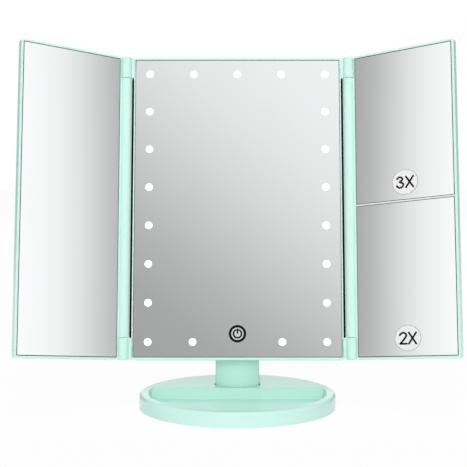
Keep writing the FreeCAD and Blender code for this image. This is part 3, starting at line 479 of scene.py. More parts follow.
cover_low, cover_high = millimetres("base_plate")
foot_top = millimetres("foot_pads")[1]
screw_low, screw_high = millimetres("plate_screws")
FOOT_RADIUS = 5.0
SCREW_RADIUS = 1.25
SCREW_HEAD = 2.4
SEAT_GAP = 0.1
feet = [(sx * (foot_top.x - FOOT_RADIUS), sy * (foot_top.y - FOOT_RADIUS))
        for sx in (-1, 1) for sy in (-1, 1)]
side_screw_y = TRAY_BACK + 8.0
cover_screws = [(screw_high.x - SCREW_HEAD, side_screw_y), (screw_low.x + SCREW_HEAD, side_screw_y),
                (0.0, screw_high.y - SCREW_HEAD)]
cover = oval_block(cover_high.x, cover_high.y, cover_low.z, cover_high.z)
round_edges(cover, edges_at(cover, 2, cover_low.z), 0.4, 2)
seats = [rod(FOOT_RADIUS + SEAT_GAP, -1.0, foot_top.z, place) for place in feet]
sinks = [rod(SCREW_HEAD + SEAT_GAP, cover_low.z - SEAT_GAP, cover_high.z + SEAT_GAP, place,
             top_radius=SCREW_RADIUS + 0.05) for place in cover_screws]
cover = cut_away(cover, *seats, *sinks)
settle("bottom_cover", [cover], STAND, [mint], "stand", ["base_plate"], soften=0.1)

rubber, place = new_finish("black_rubber", IOR=1.5)
dust = cloud(place, 900.0, 3.0)
lay(rubber, Base_Color=between(dust, (0.012, 0.012, 0.013), (0.035, 0.035, 0.037)),
    Roughness=0.62 + 0.25 * dust, Normal=relief(cloud(place, 4000.0, 2.0), 0.00003))
pads = []
for spot in feet:
    pad = rod(FOOT_RADIUS, 0.0, foot_top.z, spot)
    round_edges(pad, edges_at(pad, 2, 0.0), 0.3, 3)
    sole = max((f for f in pad.faces if f.normal.z < -0.9), key=lambda f: f.calc_area())
    bmesh.ops.inset_individual(pad, faces=[sole], thickness=1.3)
    sole = bmesh.ops.extrude_discrete_faces(pad, faces=[sole])["faces"][0]
    bmesh.ops.translate(pad, vec=(0.0, 0.0, 0.3), verts=sole.verts)
    pads.append(pad)
settle("rubber_feet", pads, STAND, [rubber], "stand", ["foot_pads"], soften=0.08)


def mottled(name, scale, detail, low, high, roughness, spread, depth=0.0, **sockets):
    """A finish whose colour, gloss and relief all follow one soft mottling."""
    finish, place = new_finish(name, **sockets)
    mottle = cloud(place, scale, detail)
    lay(finish, Base_Color=between(mottle, low, high), Roughness=roughness + spread * mottle)
    if depth:
        lay(finish, Normal=relief(mottle, depth))
    return finish


steel = mottled("bright_steel", 1800.0, 3.0, (0.50, 0.51, 0.53), (0.66, 0.67, 0.69),
                0.26, 0.18, 0.000008, Metallic=1.0)


def block(x0, x1, y0, y1, z0, z1):
    """A plain block between these places across, along and up."""
    shape = bmesh.new()
    bmesh.ops.create_cube(shape, size=1.0)
    bmesh.ops.scale(shape, vec=(x1 - x0, y1 - y0, z1 - z0), verts=shape.verts)
    bmesh.ops.translate(shape, vec=((x0 + x1) / 2, (y0 + y1) / 2, (z0 + z1) / 2), verts=shape.verts)
    return shape


def cross_screws(places, axis, head_at, tip_at, cone):
    """Countersunk screws with a cross recess, whose head faces down or backwards."""
    shank = rod(SCREW_RADIUS, -abs(head_at - tip_at), -cone, (0.0, 0.0), steps=24, ends=0.3)
    head = rod(SCREW_RADIUS, -cone, 0.0, (0.0, 0.0), steps=40, top_radius=SCREW_HEAD)
    arm_long = SCREW_HEAD * 1.15 / 2
    arm_wide = SCREW_HEAD * 0.26 / 2
    for turned in (0.0, math.pi / 2):
        arm = block(-arm_long, arm_long, -arm_wide, arm_wide, -0.8, 0.8)
        bmesh.ops.rotate(arm, matrix=Matrix.Rotation(turned, 3, "Z"), verts=arm.verts)
        head = cut_away(head, arm)
    one = joined([shank, head])
    along_axis = Matrix.Rotation(-math.pi / 2 if axis == "Y" else 0.0, 4, "X")
    facing = Matrix.Rotation(0.0 if head_at > tip_at else math.pi, 4, "X")
    copies = []
    for number, (a, b) in enumerate(places):
        spot = (a, head_at, b) if axis == "Y" else (a, b, head_at)
        copy = one.copy()
        spun = Matrix.Rotation(0.5 + 0.9 * number, 4, "Z")
        bmesh.ops.transform(copy, matrix=Matrix.Translation(spot) @ along_axis @ facing @ spun,
                            verts=copy.verts)
        copies.append(copy)
    one.free()
    return copies


screws = cross_screws(cover_screws, "Z", screw_low.z, screw_high.z, cone=1.2)
settle("bottom_cover_screws", screws, STAND, [steel], "stand", ["plate_screws"])


def dress(finish, *nodes):
    """Gives a finish to CAD solids whose own shape stays."""
    for node in nodes:
        frame["nodes"][node].data.materials.clear()
        frame["nodes"][node].data.materials.append(finish)


rolled, place = new_finish("rolled_steel", Metallic=1.0)
drawn_out = place.node("ShaderNodeMapping", {}, {"Vector": place, "Scale": (60.0, 1500.0, 60.0)})
mill = cloud(drawn_out, 1.0, 4.0)
lay(rolled, Base_Color=between(mill, (0.28, 0.28, 0.29), (0.44, 0.44, 0.46)),
    Roughness=0.36 + 0.25 * mill, Normal=relief(mill, 0.00003))
dress(rolled, "base_weights")
dress(steel, "neck_screws")

# ------------------------ neck and tilt hinge
# The neck is an ABS moulding with a bowed front and a barrel across its top. Its foot is a flange
# screwed to the deck. A steel pin with washers and a nut clamps the head to the barrel.
NECK_CORNER = 2.8
PIN_BORE = 2.05
FLANGE = 3.0
FLANGE_CLEAR = 2.4  # from the tray's back edge to the flange
neck = neck_column(0.0, TRAY_FLOOR + 1.0, pivot.z)
uprights = [e for e in neck.edges if abs(e.verts[0].co.z - e.verts[1].co.z) > 20.0
            and abs(abs(e.verts[0].co.x) - NECK_HALF) < 0.01]
round_edges(neck, uprights, NECK_CORNER, 6)
barrel = rod(BARREL, -NECK_HALF, NECK_HALF, (pivot.y, pivot.z), axis="X", steps=64, ends=0.5)
bore = (PIN_BORE, -NECK_HALF - 3.0, NECK_HALF + 3.0, (pivot.y, pivot.z), "X")
neck = cut_away(neck, rod(*bore))
barrel = cut_away(barrel, rod(*bore))


def panel(x0, x1, y0, y1, z0, z1, corner=0.0, front=0.0, back=0.0):
    """A plate that faces the viewer: its corners are rounded, then its front and back edges."""
    shape = block(x0, x1, y0, y1, z0, z1)
    if corner:
        deep = [e for e in shape.edges if abs(e.verts[0].co.y - e.verts[1].co.y) > (y1 - y0) * 0.9]
        round_edges(shape, deep, corner, 7)
    if front:
        round_edges(shape, edges_at(shape, 1, y0), front, 4)
    if back:
        round_edges(shape, edges_at(shape, 1, y1), back, 5)
    return shape


flange = block(neck_low.x, neck_high.x, TRAY_BACK + FLANGE_CLEAR, neck_high.y,
               neck_low.z, neck_low.z + FLANGE)
settle("neck", [neck, barrel, flange], STAND, [mint], "stand", ["neck_post"],
       soften=0.2)

nylon = mottled("white_nylon", 500.0, 3.0, (0.72, 0.71, 0.66), (0.80, 0.79, 0.75),
                0.42, 0.12, 0.00001, IOR=1.53, Subsurface_Weight=0.1, Subsurface_Scale=0.002)
dress(nylon, "friction_washers")
nickel = mottled("bright_nickel", 1200.0, 4.0, (0.60, 0.58, 0.53), (0.74, 0.72, 0.67),
                 0.16, 0.16, 0.000006, Metallic=1.0)
dress(nickel, "spring_washers", "tilt_nut", "battery_contacts", "usb_socket")
dress(steel, "tilt_pin", "hinge_pins", "board_screws")

# ------------------------ front frame with its hinge knuckles
# The head's front frame is an ABS moulding like a shallow picture frame. Four fixed knuckles with
# rounded ends stand ahead of its corners. Between them a black strip sits in a seat on each side;
# its black is painted shade, standing for the dark of the gap between frame and wing.
hinge = next(j for j in frame["joints"] if j["name"] == "right_wing_hinge")
up = -Vector(hinge["axis"]).normalized()
right = Vector((1.0, 0.0, 0.0))
back = up.cross(right)


def reach(node, direction):
    """Where a CAD solid starts and ends along a direction, in metres."""
    run = [v.co.dot(direction) for v in frame["nodes"][node].data.vertices]
    return min(run), max(run)


origin = up * reach("front_frame", up)[0] + back * reach("centre_mirror", back)[0]
HEAD = Matrix((
    (right.x, back.x, up.x, origin.x),
    (right.y, back.y, up.y, origin.y),
    (right.z, back.z, up.z, origin.z),
    (0.0, 0.0, 0.0, 1.0)))


def in_head(node):
    """A CAD solid's box in the head's own millimetres: across, back from the glass, up."""
    spans = [reach(node, direction) for direction in (right, back, up)]
    return [[(end - origin.dot(direction)) * 1000.0 for end in span]
            for span, direction in zip(spans, (right, back, up))]


glass_x, glass_y, glass_z = in_head("centre_mirror")
HEIGHT = in_head("front_frame")[2][1]
strip_x, strip_y, strip_z = in_head("buffer_strips")
STRIP = 1.35  # how far the strips stand out from the frame's sides
STRIP_SEAT = 0.35  # how deep they sit in the sides
HALF_FRAME = strip_x[1] - STRIP
HINGE_X = hinge["pos_m"][0] * 1000.0
HINGE_Y = (Vector(hinge["pos_m"]) - origin).dot(back) * 1000.0
HINGE_GAP = 0.3
KNUCKLE_RADIUS = 4.0
KNUCKLE_ROUND = 1.5
KNUCKLE = strip_z[0] - HINGE_GAP
BEZEL_FRONT = -0.2
FRAME_CORNER = 2.0
FRONT_ROUND = 0.5
FRAME_BACK = glass_y[1] + 7.0
POCKET_GAP = 0.15
DIFFUSER = 1.2
TAPE = 0.2
LEDGE = 3.0  # how far the ledge reaches in under the glass
LEDGE_DEPTH = 2.8
LEDGE_Y = glass_y[1] + DIFFUSER + TAPE
POST = 3.0
POST_LENGTH = 4.0
POST_FLOOR = 1.0
LUG_INSET = 0.6
FRAME_WALL = 1.3
pocket = (glass_x[0] - POCKET_GAP, glass_x[1] + POCKET_GAP,
          glass_z[0] - POCKET_GAP, glass_z[1] + POCKET_GAP)


def pocket_room(inset, front, end, corner):
    """Room of the pocket's outline, this much smaller all round."""
    return panel(pocket[0] + inset, pocket[1] - inset, front, end,
                 pocket[2] + inset, pocket[3] - inset, corner=corner)


def on_side(sign, near, far):
    """Two places across, on the right or mirrored to the left, the lower one first."""
    return sorted((sign * near, sign * far))


bezel = panel(-HALF_FRAME, HALF_FRAME, BEZEL_FRONT, FRAME_BACK, 0.0, HEIGHT,
              corner=FRAME_CORNER, front=FRONT_ROUND)
bezel = cut_away(bezel, pocket_room(0.0, -3.0, LEDGE_Y, 1.0))
bezel = cut_away(bezel, pocket_room(LEDGE, 0.0, FRAME_BACK + 1.0, 2.0))
bezel = cut_away(bezel, pocket_room(0.0, LEDGE_Y + LEDGE_DEPTH, FRAME_BACK + 1.0, 0.6))
bezel = cut_away(bezel, *[
    block(*on_side(sign, HALF_FRAME - STRIP_SEAT, HALF_FRAME + 1.0), -1.0, strip_y[1], *strip_z)
    for sign in (-1, 1)])
parts = [bezel]
screw_x = HALF_FRAME - FRAME_WALL - POST
head_screws = [(sign * screw_x, HEIGHT * part) for sign in (-1, 1) for part in (0.13, 0.5, 0.87)]
for spot in head_screws:
    post = rod(POST, LEDGE_Y + 0.02, LEDGE_Y + POST_LENGTH, spot, axis="Y")
    hole = rod(SCREW_RADIUS, LEDGE_Y + POST_FLOOR, LEDGE_Y + POST_LENGTH + 1.0, spot, axis="Y")
    parts.append(cut_away(post, hole))
for sign in (-1, 1):
    for low, free, inner in ((0.0, 0.0, KNUCKLE), (HEIGHT - KNUCKLE, HEIGHT, HEIGHT - KNUCKLE)):
        knuckle = rod(KNUCKLE_RADIUS, low, low + KNUCKLE, (sign * HINGE_X, HINGE_Y), steps=56)
        round_edges(knuckle, edges_at(knuckle, 2, free), KNUCKLE_ROUND, 6)
        round_edges(knuckle, edges_at(knuckle, 2, inner), 0.25, 2)
        lug = block(*on_side(sign, HALF_FRAME - 1.0, HINGE_X), BEZEL_FRONT,
                    KNUCKLE_RADIUS + HINGE_Y - 0.4, low + LUG_INSET, low + KNUCKLE - LUG_INSET)
        parts += [knuckle, lug]
settle("front_bezel", parts, HEAD, [mint], "head", ["front_frame"], soften=0.15)

# painted shade: the strips are black to stand for the shade in the gap between the frame and the
# wing
gap_shade_black = mottled("painted_gap_shade", 2200.0, 3.0, (0.003, 0.003, 0.003), (0.009, 0.009, 0.009),
                     0.45, 0.3, 0.00003, IOR=1.35, Specular_IOR_Level=0.12)
strips = [block(*on_side(sign, HALF_FRAME - STRIP_SEAT, strip_x[1]), *strip_y, *strip_z)
          for sign in (-1, 1)]
settle("gap_shade_strips", strips, HEAD, [gap_shade_black], "head", ["buffer_strips"],
       soften=0.1)

# ------------------------ centre glass
# Two millimetre float glass, silvered on its back, with a ground edge. Frosted opal windows show
# the lights in 21 round openings: five across the top, six down each side, and four along the
# bottom with the switch in their middle.
silver, place = new_finish("silvered_glass", Metallic=1.0, IOR=1.52)
lay(silver, Base_Color=between(cloud(place, 9.0, 1.0), (0.925, 0.935, 0.94), (0.935, 0.943, 0.95)),
    Roughness=0.006 + 0.022 * cloud(place, 35.0, 5.0))
ground_edge = mottled("ground_glass_edge", 3500.0, 2.0, (0.022, 0.034, 0.031),
                      (0.05, 0.068, 0.064), 0.35, 0.3, 0.00002, IOR=1.52)

CHAMFER = 0.45
GLASS_CORNER = 1.0
LED_SIDE = 11.35  # from the glass's edges to the middle of the lights
LED_BOTTOM = 11.7
LED_TOP = 11.4
LED_ROWS = 8
WINDOW = 2.8
LED_X = glass_x[1] - LED_SIDE
LED_LOW = glass_z[0] + LED_BOTTOM
LED_HIGH = glass_z[1] - LED_TOP
lights = []
for row in range(LED_ROWS):
    z = LED_LOW + row * (LED_HIGH - LED_LOW) / (LED_ROWS - 1)
    if row == LED_ROWS - 1:
        lights += [(x * LED_X, z) for x in (-1.0, -0.5, 0.0, 0.5, 1.0)]
    elif row == 0:
        lights += [(x * LED_X, z) for x in (-1.0, -0.5, 0.5, 1.0)]
    else:
        lights += [(-LED_X, z), (LED_X, z)]


def glass_plate(x0, x1, y0, y1, z0, z1, corner, holes=()):
    """A glass with a small ground chamfer round its front and back; only its faces are silvered."""
    shape = block(x0, x1, y0, y1, z0, z1)
    deep = [e for e in shape.edges if abs(e.verts[0].co.y - e.verts[1].co.y) > 1.0]
    round_edges(shape, deep, corner, 5)
    round_edges(shape, edges_at(shape, 1, y0), CHAMFER, 1)
    round_edges(shape, edges_at(shape, 1, y1), CHAMFER, 1)
    if holes:
        shape = cut_away(shape, *[rod(WINDOW + 0.05, y0 - 1.0, y1 + 1.0, hole, axis="Y", steps=40)
                                  for hole in holes])
    for face in shape.faces:
        face.material_index = 0 if abs(face.normal.y) > 0.99 else 1
    return shape


plate = glass_plate(*glass_x, *glass_y, *glass_z, GLASS_CORNER, lights)
settle("centre_glass", [plate], HEAD, [silver, ground_edge], "head",
       ["centre_mirror"], flat=True)

opal, place = new_finish("lit_opal", IOR=1.49, Roughness=0.5, Emission_Strength=1.15)
rim = place.node("ShaderNodeAttribute", {"attribute_name": "towards_rim"}, {}, "Fac")
frost = cloud(place, 2500.0, 2.0)
fading = rim.sum("POWER", rim, 4.0) * (0.7 + 0.3 * frost)
lay(opal, Base_Color=between(frost, (0.80, 0.80, 0.79), (0.86, 0.86, 0.85)),
    Emission_Color=between(fading, (1.0, 1.0, 1.0), (0.80, 0.84, 0.86)),
    Normal=relief(frost, 0.00001))
BORDER = 26.0
border = panel(*glass_x, glass_y[1], glass_y[1] + DIFFUSER, *glass_z, corner=GLASS_CORNER)
border = cut_away(border, panel(glass_x[0] + BORDER, glass_x[1] - BORDER, 0.0, 9.0,
                                glass_z[0] + BORDER, glass_z[1] - BORDER, corner=1.0))
studs = []
for x, z in lights:
    stud = rod(WINDOW, glass_y[0], glass_y[1] + 0.1, (x, z), axis="Y", steps=40)
    face = min(stud.faces, key=lambda f: f.calc_center_median().y)
    bmesh.ops.inset_individual(stud, faces=[face], thickness=0.8)
    bmesh.ops.inset_individual(stud, faces=[face], thickness=1.0)
    bmesh.ops.poke(stud, faces=[face])
    layer = stud.verts.layers.float.new("towards_rim")
    for vert in stud.verts:
        vert[layer] = min(1.0, math.hypot(vert.co.x - x, vert.co.z - z) / WINDOW)
    studs.append(stud)
settle("light_windows", [border, *studs], HEAD, [opal], "head",
       ["light_diffuser"], flat=True)

# ------------------------ touch switch
# The switch mark is screen printed on the glass: a pale disc, a broad black ring round it, and the
# usual power sign of a broken circle with an upright bar.
ink = mottled("black_ink", 6000.0, 2.0, (0.003, 0.003, 0.003), (0.009, 0.009, 0.010),
              0.45, 0.2, IOR=1.3, Specular_IOR_Level=0.15)
pale_ink = mottled("pale_ink", 5000.0, 2.0, (0.56, 0.57, 0.565), (0.63, 0.64, 0.635),
                   0.35, 0.2, IOR=1.5)
mark_y, mark_z = in_head("touch_mark")[1:]
MARK_FRONT = mark_y[0]
MARK_Z = (mark_z[0] + mark_z[1]) / 2
MARK_RADIUS = (mark_z[1] - mark_z[0]) / 2
RING_LINE = 1.9
SIGN_RADIUS = 3.7
SIGN_LINE = 1.25
SIGN_OPENING = 0.28  # half of the circle's gap, as an angle


def printed_arc(outer, line, front, opening=0.0):
    """A flat printed ring, or an arc of it with this opening at the top."""
    shape = bmesh.new()
    turned = Matrix.Rotation(opening, 3, "Y")
    loop = [shape.verts.new(turned @ Vector((0.0, y, r)))
            for y, r in ((front, outer), (0.0, outer), (0.0, outer - line), (front, outer - line))]
    for a, b in zip(loop, loop[1:] + loop[:1]):
        shape.edges.new((a, b))
    bmesh.ops.spin(shape, geom=shape.verts[:] + shape.edges[:], cent=(0.0, 0.0, 0.0),
                   axis=(0.0, 1.0, 0.0), dvec=(0.0, 0.0, 0.0),
                   angle=2 * math.pi - 2 * opening, steps=72, use_merge=not opening)
    bmesh.ops.holes_fill(shape, edges=[e for e in shape.edges if e.is_boundary])
    bmesh.ops.translate(shape, vec=(0.0, 0.0, MARK_Z), verts=shape.verts)
    return shape


ring = printed_arc(MARK_RADIUS, RING_LINE, MARK_FRONT)
circle = printed_arc(SIGN_RADIUS, SIGN_LINE, MARK_FRONT, SIGN_OPENING)
bar = panel(-SIGN_LINE / 2, SIGN_LINE / 2, MARK_FRONT, 0.0, MARK_Z, MARK_Z + SIGN_RADIUS * 1.1,
            corner=0.3)
settle("switch_print", [ring, circle, bar], HEAD, [ink], "head", ["touch_mark"])
disc = rod(MARK_RADIUS - RING_LINE / 2, MARK_FRONT * 0.4, 0.0, (0.0, MARK_Z), axis="Y", steps=64)
settle("switch_face", [disc], HEAD, [pale_ink], "head")

# ------------------------ light board and what holds it
# Behind the glass: foam tape, a narrow circuit board with a light chip behind every window, a white
# reflector plate, and the copper electrode with its foam contact behind the switch mark.
tape = mottled("foam_tape", 1600.0, 3.0, (0.50, 0.50, 0.48), (0.68, 0.68, 0.65),
               0.7, 0.2, 0.00004, IOR=1.4)
dress(tape, "mirror_tape", "left_mirror_tape", "right_mirror_tape")
lamp_board, place = new_finish("white_solder_mask", IOR=1.5)
tracks = place.node("ShaderNodeTexBrick", {}, {
    "Vector": place, "Scale": 160.0, "Mortar Size": 0.03, "Color1": grey(1.0),
    "Color2": grey(0.8), "Mortar": grey(0.0)}, "Fac")
lay(lamp_board, Base_Color=between(tracks, (0.80, 0.80, 0.77), (0.60, 0.61, 0.57)),
    Roughness=0.35 + 0.15 * cloud(place, 700.0, 3.0), Normal=relief(tracks, 0.00003))
dress(lamp_board, "led_board")
chips, place = new_finish("light_chip_resin", IOR=1.5, Emission_Strength=1.0)
resin = cloud(place, 3000.0, 2.0)
lay(chips, Base_Color=between(resin, (0.85, 0.75, 0.35), (0.90, 0.84, 0.50)),
    Roughness=0.3 + 0.2 * resin,
    Emission_Color=between(resin, (0.9, 0.9, 0.85), (1.0, 1.0, 0.96)))
dress(chips, "led_chips")
white_plastic, place = new_finish("white_moulding", IOR=1.5)
lay(white_plastic,
    Base_Color=between(cloud(place, 60.0, 3.0), (0.80, 0.80, 0.79), (0.84, 0.84, 0.83)),
    Roughness=0.36 + 0.12 * cloud(place, 600.0), Normal=relief(cloud(place, 900.0), 0.00001))
dress(white_plastic, "led_carrier")
copper = mottled("copper_foil", 800.0, 4.0, (0.80, 0.42, 0.28), (0.93, 0.58, 0.42),
                 0.22, 0.25, Metallic=1.0)
dress(copper, "touch_pad")
foam = mottled("conducting_foam", 3000.0, 3.0, (0.03, 0.03, 0.03), (0.10, 0.10, 0.10),
               0.8, 0.15, 0.0001, IOR=1.4)
dress(foam, "touch_contact")

# ------------------------ rear cover
# The head's rear shell: a thin ABS plate with a hump low down for four cells and the control board,
# cut out in the middle for the neck. Six countersunk screws go through it into the front frame.


def softened_copy(node, name, finish, body, edge):
    """The CAD solid's own form with its triangles joined to whole faces and its edges rounded."""
    shape = bmesh.new()
    shape.from_mesh(frame["nodes"][node].data)
    bmesh.ops.remove_doubles(shape, verts=shape.verts, dist=2e-6)
    bmesh.ops.dissolve_limit(shape, angle_limit=math.radians(0.5), verts=shape.verts,
                             edges=shape.edges, use_dissolve_boundaries=False,
                             delimit={"MATERIAL"})
    bmesh.ops.scale(shape, vec=(1000.0, 1000.0, 1000.0), verts=shape.verts)
    return settle(name, [shape], STAND, [finish], body, [node], soften=edge)


softened_copy("rear_cover", "rear_shell", mint, "head", 0.2)
COVER = 2.0
screws = cross_screws(head_screws, "Y", FRAME_BACK + COVER, LEDGE_Y + 1.2, cone=COVER)
settle("rear_shell_screws", screws, HEAD, [steel], "head", ["cover_screws"])
softened_copy("battery_door", "battery_lid", mint, "battery_door", 0.15)

# ------------------------ cells and electronics
# Four AA cells in plain jackets, a green control board with its driver, capacitor and coil, and
# two pairs of insulated leads.
jacket, place = new_finish("cell_jacket", IOR=1.5, Coat_Roughness=0.1)
run = place.node("ShaderNodeVectorMath", {"operation": "DOT_PRODUCT"},
                 {0: place, 1: tuple(up)}, "Value")
cell_low, cell_high = reach("battery_cells", up)
BARE_END, BARE_METAL = (0.60, 0.58, 0.54), (0.62, 0.60, 0.56)
BLACK_BAND, COPPER_BAND = (0.025, 0.028, 0.03), (0.72, 0.50, 0.22)
bands = shades((run - cell_low) / (cell_high - cell_low), (0.0, BARE_END), (0.035, BARE_METAL),
               (0.036, BLACK_BAND), (0.70, BLACK_BAND), (0.701, COPPER_BAND),
               (0.964, COPPER_BAND), (0.965, BARE_METAL), (1.0, BARE_END))
scuff = cloud(place, 400.0, 4.0)
lay(jacket, Base_Color=bands, Roughness=0.24 + 0.2 * scuff, Coat_Weight=0.3 + 0.3 * scuff,
    Normal=relief(scuff, 0.00001))
softened_copy("battery_cells", "four_cells", jacket, "head", 0.5)
green, place = new_finish("green_board", IOR=1.5)
copper_under = place.node("ShaderNodeTexVoronoi", {"distance": "CHEBYCHEV"},
                          {"Vector": place, "Scale": 420.0}, "Distance")
lines = shades(copper_under, (0.0, 0.0), (0.32, 0.0), (0.36, 1.0), (1.0, 1.0))
lines = lines.node("ShaderNodeRGBToBW", {}, {0: lines})
lay(green, Base_Color=between(lines, (0.012, 0.11, 0.045), (0.02, 0.19, 0.08)),
    Roughness=0.3 + 0.15 * cloud(place, 900.0), Normal=relief(copper_under, 0.00002))
dress(green, "control_board")
component = mottled("component_case", 2500.0, 3.0, (0.015, 0.015, 0.018), (0.04, 0.04, 0.045),
                    0.45, 0.25, 0.00002, IOR=1.5)
dress(component, "board_parts")
insulation = mottled("red_insulation", 700.0, 3.0, (0.50, 0.018, 0.014), (0.62, 0.03, 0.024),
                     0.35, 0.2, IOR=1.5)
dress(insulation, "led_leads", "battery_leads")

# ------------------------ wings
# Each wing is a slim ABS frame with a hinge barrel along its inner side, a glass taped into its
# front and a thin shell clipped on its back. Steel pins join its barrel to the head's knuckles.
OPEN = math.radians(-hinge["range_deg"][0])
RIGHT_WING = HEAD @ Matrix.Translation((HINGE_X * 0.001, HINGE_Y * 0.001, 0.0)) \
    @ Matrix.Rotation(-OPEN, 4, "Z")
MIRRORED = Matrix.Scale(-1.0, 4, Vector((1.0, 0.0, 0.0)))
LEFT_WING = HEAD @ MIRRORED @ HEAD.inverted() @ RIGHT_WING
PANEL_INNER = KNUCKLE_RADIUS + HINGE_GAP
PANEL_OUTER = HINGE_X - 0.5
GLASS_INNER = PANEL_INNER + 1.0
GLASS_OUTER = PANEL_OUTER - 2.0
GLASS_FRONT = 0.2
GLASS_BACK = 2.2
WING_LEDGE = 2.4
WING_DEPTH = 4.4
WING_BACK = 6.0
WING_GLASS_CORNER = 0.6
SHELL_ROUND = 1.2
RIB = 1.2  # the shell's rib that locates it in the frame
RIB_INSET = LEDGE + 0.2
PIN_ROOM = 1.3
PIN_DEPTH = 24.0
WEB_START = 2.0
WEB_DEPTH = 4.0
HALF_BAR = 3.6
MIDDLE = (glass_z[0] + glass_z[1]) / 2
HALF_DIVIDER = 0.6


def wing_room(inset, front, end, low, high, corner):
    """Room behind or in the wing's glass, this far inside the glass's sides."""
    return panel(GLASS_INNER + inset, GLASS_OUTER - inset, front, end, low, high, corner=corner)


def wing_moulding(split):
    """The wing's frame with its pocket, ledge and barrel, with or without a bar across."""
    body = panel(PANEL_INNER, PANEL_OUTER, 0.0, WING_DEPTH, 0.0, HEIGHT, corner=FRAME_CORNER,
                 front=FRONT_ROUND)
    body = cut_away(body, wing_room(-POCKET_GAP, -3.0, WING_LEDGE, pocket[2], pocket[3], 0.7))
    spans = [(pocket[2] + LEDGE, pocket[3] - LEDGE)]
    if split:
        spans = [(spans[0][0], MIDDLE - HALF_BAR), (MIDDLE + HALF_BAR, spans[0][1])]
    body = cut_away(body, *[wing_room(LEDGE - POCKET_GAP, 0.0, WING_DEPTH + 1.0, low, high, 1.0)
                            for low, high in spans])
    low = KNUCKLE + HINGE_GAP
    barrel = rod(KNUCKLE_RADIUS, low, HEIGHT - low, (0.0, 0.0), steps=56, ends=0.25)
    for end in (0.0, HEIGHT - PIN_DEPTH):
        barrel = cut_away(barrel, rod(PIN_ROOM, end, end + PIN_DEPTH, (0.0, 0.0), steps=24))
    web = block(WEB_START, PANEL_INNER + 0.5, 0.0, WEB_DEPTH, low, HEIGHT - low)
    return [body, barrel, web]


def wing_shell():
    """The wing's back, and the rib inside it that locates it in the frame."""
    shell = panel(PANEL_INNER, PANEL_OUTER, WING_DEPTH, WING_BACK, 0.0, HEIGHT,
                  corner=FRAME_CORNER, back=SHELL_ROUND)
    low, high = glass_z[0] + RIB_INSET, glass_z[1] - RIB_INSET
    rib = wing_room(RIB_INSET, WING_DEPTH - 1.0, WING_DEPTH + 0.2, low, high, 1.0)
    inside = wing_room(RIB_INSET + RIB, 0.0, WING_BACK, low + RIB, high - RIB, 1.0)
    return [shell, cut_away(rib, inside)]


settle("left_wing_moulding", wing_moulding(False), LEFT_WING, [mint], "left_wing",
       ["left_wing_frame"], soften=0.15)
settle("left_wing_shell", wing_shell(), LEFT_WING, [mint], "left_wing",
       ["left_wing_back"], soften=0.1)
plate = glass_plate(GLASS_INNER, GLASS_OUTER, GLASS_FRONT, GLASS_BACK, *glass_z, WING_GLASS_CORNER)
settle("left_glass", [plate], LEFT_WING, [silver, ground_edge], "left_wing",
       ["left_mirror"], flat=True)

# ------------------------ right wing
# The right wing is the same moulding with a bar across its middle. Above and below the bar sit two
# acrylic magnifiers, flat in front and silvered on their rounded backs, each with a printed badge.
settle("right_wing_moulding", wing_moulding(True), RIGHT_WING, [mint], "right_wing",
       ["right_wing_frame"], soften=0.15)
BULGE_3X = 1.6
BULGE_2X = 1.2
DOME_INSET = LEDGE + 0.4
shell, rib = wing_shell()
bar_room = HALF_BAR + 0.2
rib = cut_away(rib, block(0.0, 90.0, 0.0, WING_DEPTH, MIDDLE - bar_room, MIDDLE + bar_room))
settle("right_wing_shell", [shell, rib], RIGHT_WING, [mint], "right_wing",
       ["right_wing_back"], soften=0.1)


def lens(low, high, bulge):
    """A magnifier: the plate, and the shallow dome of its silvered back."""
    plate = glass_plate(GLASS_INNER, GLASS_OUTER, GLASS_FRONT, GLASS_BACK, low, high,
                        WING_GLASS_CORNER)
    half_x = (GLASS_OUTER - GLASS_INNER) / 2 - DOME_INSET
    half_z = (high - low) / 2 - DOME_INSET
    dome = bmesh.new()
    bmesh.ops.create_grid(dome, x_segments=20, y_segments=24, size=1.0)
    for vert in dome.verts:
        spread = (vert.co.x * half_x) ** 2 + (vert.co.y * half_z) ** 2
        vert.co.z = bulge * (1.0 - spread / (half_x ** 2 + half_z ** 2))
    outline = [e for e in dome.edges if e.is_boundary]
    for made in bmesh.ops.extrude_edge_only(dome, edges=outline)["geom"]:
        if isinstance(made, bmesh.types.BMVert):
            made.co.z = -0.3
    bmesh.ops.holes_fill(dome, edges=[e for e in dome.edges if e.is_boundary])
    middle = ((GLASS_INNER + GLASS_OUTER) / 2, GLASS_BACK, (low + high) / 2)
    stand_up = Matrix.Translation(middle) @ Matrix.Rotation(math.pi / 2, 4, "X") \
        @ Matrix.Diagonal((half_x, half_z, -1.0, 1.0))
    bmesh.ops.transform(dome, matrix=stand_up, verts=dome.verts)
    return [plate, dome]


acrylic, place = new_finish("silvered_acrylic", Metallic=1.0, IOR=1.49)
lay(acrylic, Base_Color=between(cloud(place, 8.0, 1.0), (0.925, 0.93, 0.935), (0.935, 0.94, 0.945)),
    Roughness=0.008 + 0.024 * cloud(place, 30.0, 5.0))
settle("lens_3x", lens(MIDDLE + HALF_DIVIDER, glass_z[1], BULGE_3X), RIGHT_WING,
       [acrylic, ground_edge], "right_wing", ["magnifier_3x"], flat=True)
settle("lens_2x", lens(glass_z[0], MIDDLE - HALF_DIVIDER, BULGE_2X), RIGHT_WING,
       [acrylic, ground_edge], "right_wing", ["magnifier_2x"], flat=True)
divider = block(GLASS_INNER, GLASS_OUTER, 0.0, WING_LEDGE,
                MIDDLE - HALF_DIVIDER, MIDDLE + HALF_DIVIDER)
settle("lens_divider", [divider], RIGHT_WING, [white_plastic], "right_wing",
       ["mirror_divider"], soften=0.2)

